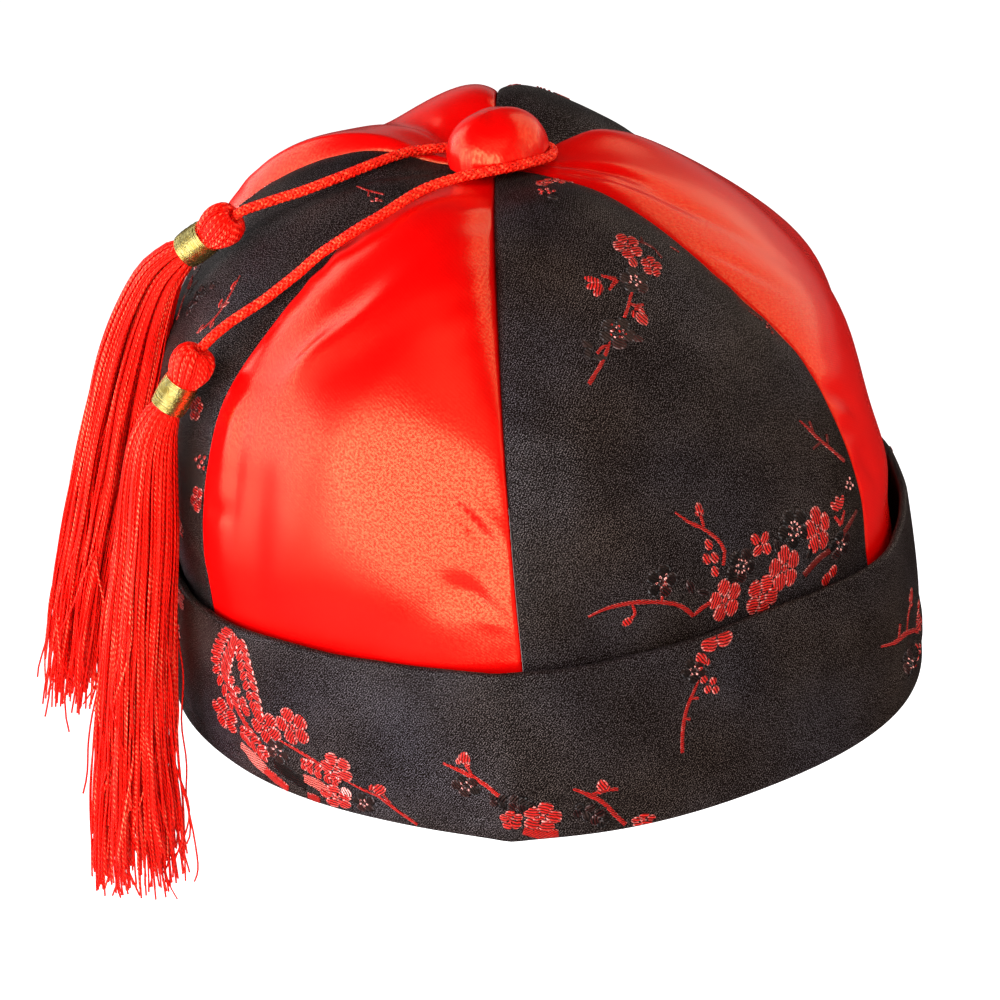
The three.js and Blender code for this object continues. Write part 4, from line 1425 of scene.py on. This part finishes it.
def thread_paint(dark, middle, light, twist):
    def paint(net):
        along, tone = net.written("along"), net.written("tone")
        x, y, _ = net.split(net.written("around", "Vector"))
        angle = along * (TURN / twist) * (0.85 + tone * 0.3) + tone * 60
        ply = angle.sine() * x + angle.math("COSINE") * y
        fade = net.noise(net.joined(along * 0.05, tone * 31, 0), 1.0, 1)
        lit = (ply * 0.34 + 0.46 + (tone - 0.5) * 0.34 + (fade - 0.5) * 1.2).clamped()
        # the dark and light stops are painted shade and painted highlights on the plies
        stops = [(0.08, dark), (0.42, middle), (0.70, middle), (0.98, light)]
        colour = net.node("ShaderNodeValToRGB", {"stops": stops}, [lit])
        bump = net.bump(0.6, PLY_DEPTH, ply)
        return {"Base Color": colour, "Roughness": 0.50 - tone * 0.15, "Normal": bump}

    return paint


tassel_paint = thread_paint((0.50, 0.0, 0.0), (0.88, 0.001, 0.0), (1.0, 0.17, 0.08), TASSEL_TWIST)
tassel_thread = finish(
    "red_tassel_thread", tassel_paint, Specular_IOR_Level=0.42, Specular_Tint=(1, 0.40, 0.20, 1),
)
cord_paint = thread_paint((0.50, 0.0, 0.0), (0.86, 0.004, 0.001), (1.0, 0.09, 0.03), CORD_TWIST)
cord_thread = finish(
    "red_cord", cord_paint, Specular_IOR_Level=0.7, Specular_Tint=(1, 0.45, 0.22, 1),
)

# %% [markdown]
# ## The cord
# The cord is a round braid: half of its threads wind one way, half the other, and they pass
# over and under each other at every crossing. The sine that lifts a thread over one crossing
# and drops it under the next has as many waves per turn as there are threads each way.

# %% Braid the cord
CORD_THREAD = 0.44  # the radius of one thread of the braid
CORD_CORE = 0.72


def braid(net, start):
    line = line_of(net, start, "LENGTH", start["Step"])
    copies = copied(net, line, start["Threads each way"] * 2)
    index = copies["Duplicate Index"]
    one_way = index.math("MODULO", 2)
    number = (index / 2).math("FLOOR")
    length = net.node("GeometryNodeSplineParameter")["Length"]
    turn = length * TURN / start["Length of a turn"]
    angle = turn * (1 - one_way * 2) + number * TURN / start["Threads each way"]
    over = (turn * start["Threads each way"]).math("COSINE") * (1 - one_way * 2)
    reach = start["Radius"] + over * start["Over and under"]
    first, second = across_line(net)
    sideways = scaled(net, first, angle.math("COSINE") * reach)
    offset = vector(net, "ADD", sideways, scaled(net, second, angle.sine() * reach))
    threads = spun(net, moved(net, copies, offset), index, CORD_THREAD, 6, 3)
    core = spun(net, line, 0, CORD_CORE, 7, 4)
    return net.node("GeometryNodeJoinGeometry", {}, {"Geometry": [threads, core]})


BRAID = {
    "Threads each way": 4,
    "Length of a turn": 6.4,
    "Radius": 0.86,
    "Over and under": 0.14,
    "Step": 0.36,
}
cords = {}
for side, (line, length) in CORDS.items():
    cords[side] = grow(f"cord_{side}_braid", line, braid, cord_thread, BRAID)
    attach(cords[side], "root")
    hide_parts(f"cord_{side}")
    print(f"cord {side}: {len(cords[side].data.polygons)} faces")

# %% [markdown]
# ## The tassels' heads and bands
# A head is a wooden ball under threads that come out of its hole, run down its side and are
# held by the gold band. Both are made upright, round their own axis, and then turned to the
# way the tassel points.

# %% Place the tassels
HEAD_LENGTH = 9
BAND_LENGTH = 8.6
GAP = 0.4
TASSELS = {
    "left": {"head": (-70.6, -9, 134.6), "points": (-0.78, 0.28, -0.56)},
    "front": {"head": (-80.8, -34, 107.6), "points": (-0.57, 0, -0.82)},
}


def stand(side, drop):
    """The place and turn of something made upright, so far down a tassel's axis."""
    down = Vector(TASSELS[side]["points"]).normalized()
    top = Vector(TASSELS[side]["head"]) + down * (drop - HEAD_LENGTH / 2)
    return Matrix.Translation(top) @ (-down).to_track_quat("Z", "Y").to_matrix().to_4x4()


def lathe(name, profile, sides, material, place):
    """Turn a profile of radius and height round the upright axis, closed at both poles."""
    ring = np.linspace(0, TURN, sides + 1)[:-1]
    points = []
    for radius, height in profile:
        points += [(radius * math.cos(a), radius * math.sin(a), height) for a in ring]
    points += [(0, 0, profile[0][1]), (0, 0, profile[-1][1])]
    points = [place @ Vector(point) for point in points]
    faces = ring_faces(len(profile), sides) + pole_faces(len(profile), sides)
    return add_piece(name, np.array(points), faces, material)

# %% [markdown]
# The threads of a head are copies of one line, each turned a step further round the axis.
# A small chance in each step and size keeps them from looking machined. The ball closes the
# gaps between them.

# %% Wind the heads
HEAD_THREAD = 0.33  # the radius of a thread


def fan_round(net, start):
    """Copies of one line, turned step by step round the upright axis, with a slight twist."""
    line = line_of(net, start, "COUNT", start["Points"])
    copies = copied(net, line, start["Threads"])
    index = copies["Duplicate Index"]
    share = net.node("GeometryNodeSplineParameter")["Factor"]
    uneven = (chance(net, index, start["Seed"]) - 0.5) * 0.08
    angle = index * TURN / start["Threads"] + share * start["Twist"] + uneven
    values = {"Vector": net.node("GeometryNodeInputPosition"), "Angle": angle}
    swivelled = net.node("ShaderNodeVectorRotate", {"rotation_type": "Z_AXIS"}, values)
    lift = 1 + (chance(net, index, start["Seed"] + 1) - 0.5) * 0.05
    values = {"Geometry": copies, "Position": scaled(net, swivelled, lift)}
    copies = net.node("GeometryNodeSetPosition", {}, values)
    return spun(net, copies, index, HEAD_THREAD, 5, start["Seed"] + 2)


HEAD_LINE = [
    (1.3, 0, -3.4), (1.35, 0, -1.6), (1.9, 0, -0.35), (2.9, 0, -0.05), (4.1, 0, -0.6), (5.0, 0, -1.9),
    (5.35, 0, -3.6), (5.25, 0, -5.4), (4.7, 0, -7.2), (4.0, 0, -8.8), (3.7, 0, -9.6),
]
HEAD_BALL = [
    (1.2, -9.2), (3.6, -9.2), (4.8, -5.4), (4.9, -3.4), (4.3, -1.6), (2.8, -0.7), (1.5, -1.2), (0.4, -2.6),
]
heads = {}
for side, seed in (("left", 11), ("front", 23)):
    sizes = {"Threads": 58, "Points": 24, "Twist": 0.7, "Seed": seed}
    top = stand(side, 0)
    threads = grow(f"tassel_head_{side}_threads", HEAD_LINE, fan_round, tassel_thread, sizes, place=top)
    ball = lathe(f"tassel_head_{side}_ball", HEAD_BALL, 20, tassel_thread, top)
    heads[side] = [threads, ball]
    for piece in heads[side]:
        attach(piece, "root")
        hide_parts(f"tassel_head_{side}")
print("heads:", sum(len(piece.data.polygons) for pair in heads.values() for piece in pair), "faces")

# %% [markdown]
# The gold band is one long metallic thread wound round and round. Its line goes straight
# down the axis, and the tree sends it round as it goes, following the band's slight barrel.
# A plain barrel of the same gold lies under it and closes the gaps.

# %% Wind the gold bands
# painted glints and painted shade: noise mixes the gold between a lit and a shaded colour
GOLD_SHADED = (0.66, 0.46, 0.055)
GOLD_LIT = (1.0, 0.90, 0.42)
GOLD_THREAD = 0.24  # its radius


def gold_paint(net):
    place = net.place()
    spark = net.noise(net.joined(net.written("along") * 0.9, 0, 0), 1.0, 3)
    cloud = net.noise(place, 500, 2)
    colour = net.colours(((spark - 0.5) * 1.5 + cloud).clamped(), GOLD_SHADED, GOLD_LIT)
    bump = net.bump(0.5, WEAVE_DEPTH, net.noise(place, 2600, 2) + cloud)
    return {"Base Color": colour, "Roughness": spark * 0.25 + 0.12, "Normal": bump}


gold_thread = finish("gold_thread", gold_paint, Metallic=1.0)


def winding(net, start):
    line = line_of(net, start, "COUNT", start["Turns"] * start["Points a turn"])
    share = net.node("GeometryNodeSplineParameter")["Factor"]
    angle = share * start["Turns"] * TURN
    belly = (share * math.pi).sine().math("POWER", 0.5) * start["Belly"]
    ragged = net.noise(net.joined(angle * 0.6, start["Seed"], 0), 1.0, 2) - 0.5
    radius = start["Radius"] + belly + ragged * start["Raggedness"]
    shift = (net.noise(net.joined(angle * 0.35, 7, start["Seed"]), 1.0, 2) - 0.5) * start["Raggedness"] * 1.6
    offset = net.joined(angle.math("COSINE") * radius, angle.sine() * radius, shift)
    return spun(net, moved(net, line, offset), 0, GOLD_THREAD, 6, 5)


WINDING = {"Turns": 21, "Points a turn": 36, "Radius": 4.25, "Belly": 0.35, "Raggedness": 0.45}
BARREL = [(2.0, -8.4), (4.1, -8.4), (4.3, -7.2), (4.45, -4.3), (4.3, -1.4), (4.1, -0.2), (2.0, -0.2)]
bands = {}
for side, seed in (("left", 3), ("front", 8)):
    below = stand(side, HEAD_LENGTH + GAP)
    line = [(0, 0, -0.3), (0, 0, 0.3 - BAND_LENGTH)]
    sizes = {**WINDING, "Seed": seed}
    wound = grow(f"tassel_band_{side}_winding", line, winding, gold_thread, sizes, place=below)
    under = lathe(f"tassel_band_{side}_under", BARREL, 32, gold_thread, below)
    bands[side] = [wound, under]
    for piece in bands[side]:
        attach(piece, "root")
        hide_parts(f"tassel_band_{side}")
print("bands:", sum(len(piece.data.polygons) for pair in bands.values() for piece in pair), "faces")

# %% [markdown]
# Each tassel hangs from its own end of the cord. The length of each end is printed.

# %% Print the cords' lengths
for side, (line, length) in CORDS.items():
    print(f"cord {side}: {length * MM:.3f} m")

# %% [markdown]
# ## The tassels' skirts
# A skirt is several hundred twisted strands. They hang from one guide line, whose table says
# how wide and thick the bundle is at each height. Its first stretch comes from inside the
# gold band, where the strands are held together.

# %% Write down the skirts
SKIRTS = {
    "left": table(
        "x y z wide thick",
        (-89.2, -3.2, 119.6, 12.5, 9.5), (-94.8, -1, 108.6, 15.6, 10.5), (-99.6, 1, 95.8, 18.0, 11),
        (-104.2, 2, 82, 18.2, 12), (-108.8, 2, 66, 19.2, 13), (-113.6, 2, 50, 19.5, 14),
        (-118.2, 2, 34, 20.5, 15), (-122, 2, 18, 22, 15), (-125, 2, 4, 23, 15), (-126.4, 2, -3, 23, 15),
    ),
    "front": table(
        "x y z wide thick",
        (-93.4, -34.6, 87, 12.5, 10), (-95.8, -36, 76, 14.5, 11.5), (-98.2, -37.4, 62, 16, 12.5),
        (-101.6, -38.2, 45.5, 17.5, 13.5), (-104.6, -38.5, 30, 19, 14.5), (-107.2, -38.5, 14, 20.5, 15),
        (-109.6, -38.5, -2, 22, 16), (-111.6, -38.5, -18, 24, 16.5), (-113.2, -38.5, -32, 25, 16),
        (-113.8, -38.5, -39, 25, 16),
    ),
}


GUIDE_POINTS = 90


def skirt_guide(side):
    """The guide line from inside the band down, and the bundle's size along it."""
    rows = SKIRTS[side]
    down = Vector(TASSELS[side]["points"]).normalized()
    band_end = HEAD_LENGTH / 2 + GAP + BAND_LENGTH
    neck = [Vector(TASSELS[side]["head"]) + down * (band_end + step) for step in (-0.6, 0.7, 4)]
    sizes = [(6.8, 6.8), (8.4, 8.4), (9.6, 8.8)]
    lines = {key: [getattr(point, key) for point in neck] + list(rows[key]) for key in "xyz"}
    lines["wide"] = [size[0] for size in sizes] + list(rows["wide"])
    lines["thick"] = [size[1] for size in sizes] + list(rows["thick"])
    fine = np.linspace(0, len(lines["x"]) - 1, GUIDE_POINTS)
    return {key: smooth(np.array(values, float), fine) for key, values in lines.items()}

# %% [markdown]
# Each strand keeps its own place in the bundle, wanders a little more the lower it gets, and
# is cut to its own length. Neighbours sway together in locks, and a few strands stray
# further than the rest. Noise gives all of these, so nothing has to be simulated.

# %% Hang the strands
STRAND = 0.26  # the radius of a strand


def strands(net, start):
    copies = copied(net, line_of(net, start, "COUNT", start["Points"]), start["Strands"])
    index = copies["Duplicate Index"]
    share = net.node("GeometryNodeSplineParameter")["Factor"]
    seed = start["Seed"]
    along = net.node("GeometryNodeInputTangent")
    level = vector(net, "DOT_PRODUCT", along, (0, 1, 0))["Value"]
    depthways = vector(net, "NORMALIZE", vector(net, "SUBTRACT", (0, 1, 0), scaled(net, along, level)))
    sideways = vector(net, "CROSS_PRODUCT", depthways, along)
    angle = chance(net, index, seed) * TURN + share * start["Bundle twist"]
    reach = chance(net, index, seed + 1).math("POWER", start["Hollow"]) * 0.5
    wide = angle.math("COSINE") * reach * attribute(net, "wide")
    thick = angle.sine() * reach * attribute(net, "thick")
    stray = chance(net, index, seed + 2).math("GREATER_THAN", 1 - start["Strays"]) * start["Stray reach"]
    wander = share * share * (start["Wander"] + stray)
    swing = net.noise(net.joined(index * 3.7, share * start["Waves"], seed), 1.0, 1, "Color")
    swing = scaled(net, vector(net, "SUBTRACT", swing, (0.5, 0.5, 0.5)), wander)
    beside = net.joined(angle.math("COSINE") * 1.7, angle.sine() * 1.7, share * 1.5 + seed)
    lock = net.noise(beside, 1.3, 1, "Color")
    lock = scaled(net, vector(net, "SUBTRACT", lock, (0.5, 0.5, 0.5)), share * start["Lock sway"])
    place = vector(net, "ADD", scaled(net, sideways, wide), scaled(net, depthways, thick))
    copies = moved(net, copies, vector(net, "ADD", place, vector(net, "ADD", swing, lock)))
    cut = 1 - chance(net, index, seed + 3).math("POWER", 1.5) * start["Uneven ends"]
    copies = net.node("GeometryNodeTrimCurve", {"mode": "FACTOR"}, {"Curve": copies, 3: cut})
    return spun(net, copies, index, STRAND, 4, seed + 4)


SKIRT_OWN = {
    "left": {"Strands": 440, "Seed": 5, "Bundle twist": 0.25},
    "front": {"Strands": 460, "Seed": 31, "Bundle twist": -0.2},
}
SKIRT_BOTH = {
    "Points": 44,
    "Hollow": 0.42,
    "Wander": 4.6,
    "Waves": 3.0,
    "Strays": 0.13,
    "Stray reach": 32.0,
    "Lock sway": 8.5,
    "Uneven ends": 0.23,
}
for side, own in SKIRT_OWN.items():
    guide = skirt_guide(side)
    points = np.stack([guide["x"], guide["y"], guide["z"]], axis=-1)
    widths = {key: guide[key] for key in ("wide", "thick")}
    sizes = {**own, **SKIRT_BOTH}
    skirt = grow(f"tassel_skirt_{side}_strands", points, strands, tassel_thread, sizes, widths)
    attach(skirt, "root")
    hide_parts(f"tassel_skirt_{side}")
    print(f"skirt {side}: {len(skirt.data.polygons)} faces")

# %% [markdown]
# ## The top button
# The button is a domed former covered with the crown's satin, whose edge is gathered under
# it. It stands on a short shank that goes down through the crown to a knot inside.

# %% Cover the button
BUTTON_Y = -4
BUTTON = {"radius": 13.4, "base": 143.7, "edge": 0.9, "dome": 11.7}
BUTTON_TILT = 6.5  # degrees that it leans towards -X, the way that the cord pulls it
BUTTON_SHIFT = 1.2
COVER_STRETCH = 1.15  # the weave seen from above, against its run over the dome


def button_point(azimuth, climb):
    """Climb is -1 at the middle underneath, 0 at the rim and 1 at the top."""
    turn = np.radians(azimuth)
    rim = BUTTON["base"] + BUTTON["edge"]
    lift = np.clip(climb, 0, 1) * np.pi / 2
    gathers = np.sin(17 * turn + 2 * np.sin(3 * turn)) + 0.5 * np.sin(29 * turn + 1)
    near_rim = np.exp(-((climb / 0.22) ** 2))
    radius = BUTTON["radius"] * np.where(climb > 0, np.cos(lift) ** 0.90, 1)
    under = np.clip(-climb, 0, 1)
    radius = np.where(climb < 0, BUTTON["radius"] * (1 - under), radius) - 0.3 * near_rim
    radius = radius + 0.13 * gathers * near_rim * (1 - under)
    height = np.where(climb < 0, rim - BUTTON["edge"] * np.sin(np.clip(under * 12, 0, 1) * np.pi / 2), 0)
    height = np.where(climb >= 0, rim + BUTTON["dome"] * np.sin(lift), height)
    height = height + 0.18 * gathers * np.exp(-(((climb + 0.08) / 0.12) ** 2))
    slow = 0.30 * np.sin(2 * turn + 1) + 0.22 * np.sin(3 * turn + 2.5) + 0.10 * np.sin(5 * turn)
    height = height + slow * np.clip(climb, 0, 1) * (1 - np.clip(climb, 0, 1)) * 4
    return np.stack([radius * np.cos(turn), radius * np.sin(turn), height - BUTTON["base"]], axis=-1)


climbs = np.concatenate([-np.linspace(0.97, 0.02, 16), np.linspace(0, 0.985, 34)])
azimuths = np.linspace(0, 360, 97)[:-1]
rows = button_point(azimuths[None, :], climbs[:, None])
points = np.concatenate([rows.reshape(-1, 3), rows[:1].mean(axis=1), rows[-1:].mean(axis=1)])
faces = ring_faces(len(climbs), len(azimuths)) + pole_faces(len(climbs), len(azimuths))
lean = np.radians(BUTTON_TILT)
across, up = points[:, 0].copy(), points[:, 2].copy()
points[:, 0] = across * np.cos(lean) - up * np.sin(lean) + BUTTON_SHIFT
points[:, 1] += BUTTON_Y
points[:, 2] = BUTTON["base"] + up * np.cos(lean) + across * np.sin(lean)
button = add_piece("top_button_cover", points, faces, satin, points[:, :2] * COVER_STRETCH)
stem = [(2.0, 139.2), (6.0, 139.6), (6.0, 140.4), (3.1, 140.8), (3.1, 145.5), (1.0, 145.5)]
shank = lathe("top_button_shank", stem, 24, satin, Matrix.Translation((0, BUTTON_Y, 0)))
for piece in (button, shank):
    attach(piece, "root")
    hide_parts("top_button")
print("button:", len(button.data.polygons), "faces")

# %% [markdown]
# ## Floor and light
# The floor is pale and wide, and the light is soft. Satin and black cloth show what they
# mirror more than their own colour, so the lamps are placed by what should be mirrored where.
# The floor is kept out of the reflections, as a black card would do in a studio.

# %% Lay the floor
FLOOR_HEIGHT = -0.80
FLOOR_REACH = 9


def floor_paint(net):
    return {"Base Color": net.colours(net.noise(net.place(), 1.2, 2), (0.90,) * 3, (0.93,) * 3)}


sides = ((-1, -1), (1, -1), (1, 1), (-1, 1))
corners = [(x * FLOOR_REACH, y * FLOOR_REACH, FLOOR_HEIGHT) for x, y in sides]
pale = finish("floor", floor_paint, Roughness=0.9, Emission_Color=(1, 1, 1, 1), Emission_Strength=0.95)
floor = add_piece("floor", np.array(corners) / MM, [(0, 1, 2, 3)], pale)
floor.visible_glossy = False
print("floor at", FLOOR_HEIGHT, "m")

# %% [markdown]
# The world is dark with one pale belt at eye level, which the button and the folds mirror.
# Two broad lamps stand at the left and in front, with a wide weak one round the front lamp's
# edges, and a warm one stands behind. The last three only brighten and leave no shine: the
# fill from above, a cool one at the left and one at the right.

# %% Light the hat
SKY_BELT = [
    (0.0, (0.01,) * 3),
    (0.44, (0.03,) * 3),
    (0.5, (0.40,) * 3),
    (0.58, (0.35,) * 3),
    (0.68, (0.05,) * 3),
    (1.0, (0.01,) * 3),
]
world = bpy.data.worlds.new("studio")
world.use_nodes = True
bpy.context.scene.world = world
net = Net(world.node_tree)
_, _, sky = net.split(net.node("ShaderNodeTexCoord")["Generated"])
shade = net.node("ShaderNodeValToRGB", {"stops": SKY_BELT}, [sky * 0.5 + 0.5])
net.feed(world.node_tree.nodes["Background"], {"Color": shade, "Strength": 0.8})


def lamp(name, place, target, size, power, height=None, roll=0, mirrored=True, colour=(1, 1, 1)):
    """A soft lamp; one that is not mirrored lights the cloths and leaves no shine on them."""
    light = bpy.data.lights.new(name, "AREA")
    light.shape = "RECTANGLE"
    light.size = size
    light.size_y = height or size
    light.energy = power
    light.color = colour
    holder = bpy.data.objects.new(name, light)
    aim = (Vector(target) - Vector(place)).to_track_quat("-Z", "Y").to_matrix().to_4x4()
    holder.matrix_world = Matrix.Translation(place) @ aim @ Matrix.Rotation(math.radians(roll), 4, "Z")
    holder.visible_glossy = mirrored
    bpy.context.collection.objects.link(holder)


lamp("lamp_left", (-1.21, 0.30, 0.41), (0, 0, 0.08), 2.10, 10, 0.94, roll=-16)
lamp("lamp_front", (-0.64, -1.07, 0.22), (0, 0, 0.08), 1.36, 14.5, 1.30, roll=-14)
lamp("lamp_glow", (-0.70, -1.17, 0.22), (0, 0, 0.08), 1.70, 6.5, 1.80, roll=-14)
lamp("lamp_back", (1.20, 0.55, 1.00), (0, 0, 0.10), 2.1, 13, 1.6, colour=(1, 0.80, 0.64))
lamp("lamp_fill", (-0.2, -1.6, 1.9), (0, 0, 0.05), 1.6, 27, mirrored=False)
lamp("lamp_cool", (-1.16, -0.31, 0.25), (0, 0, 0.05), 1.0, 31, mirrored=False, colour=(0.84, 0.84, 1))
lamp("lamp_side", (1.6, -0.9, 0.9), (0, 0, 0.05), 1.2, 17, mirrored=False)
bpy.context.scene.view_settings.view_transform = "Standard"
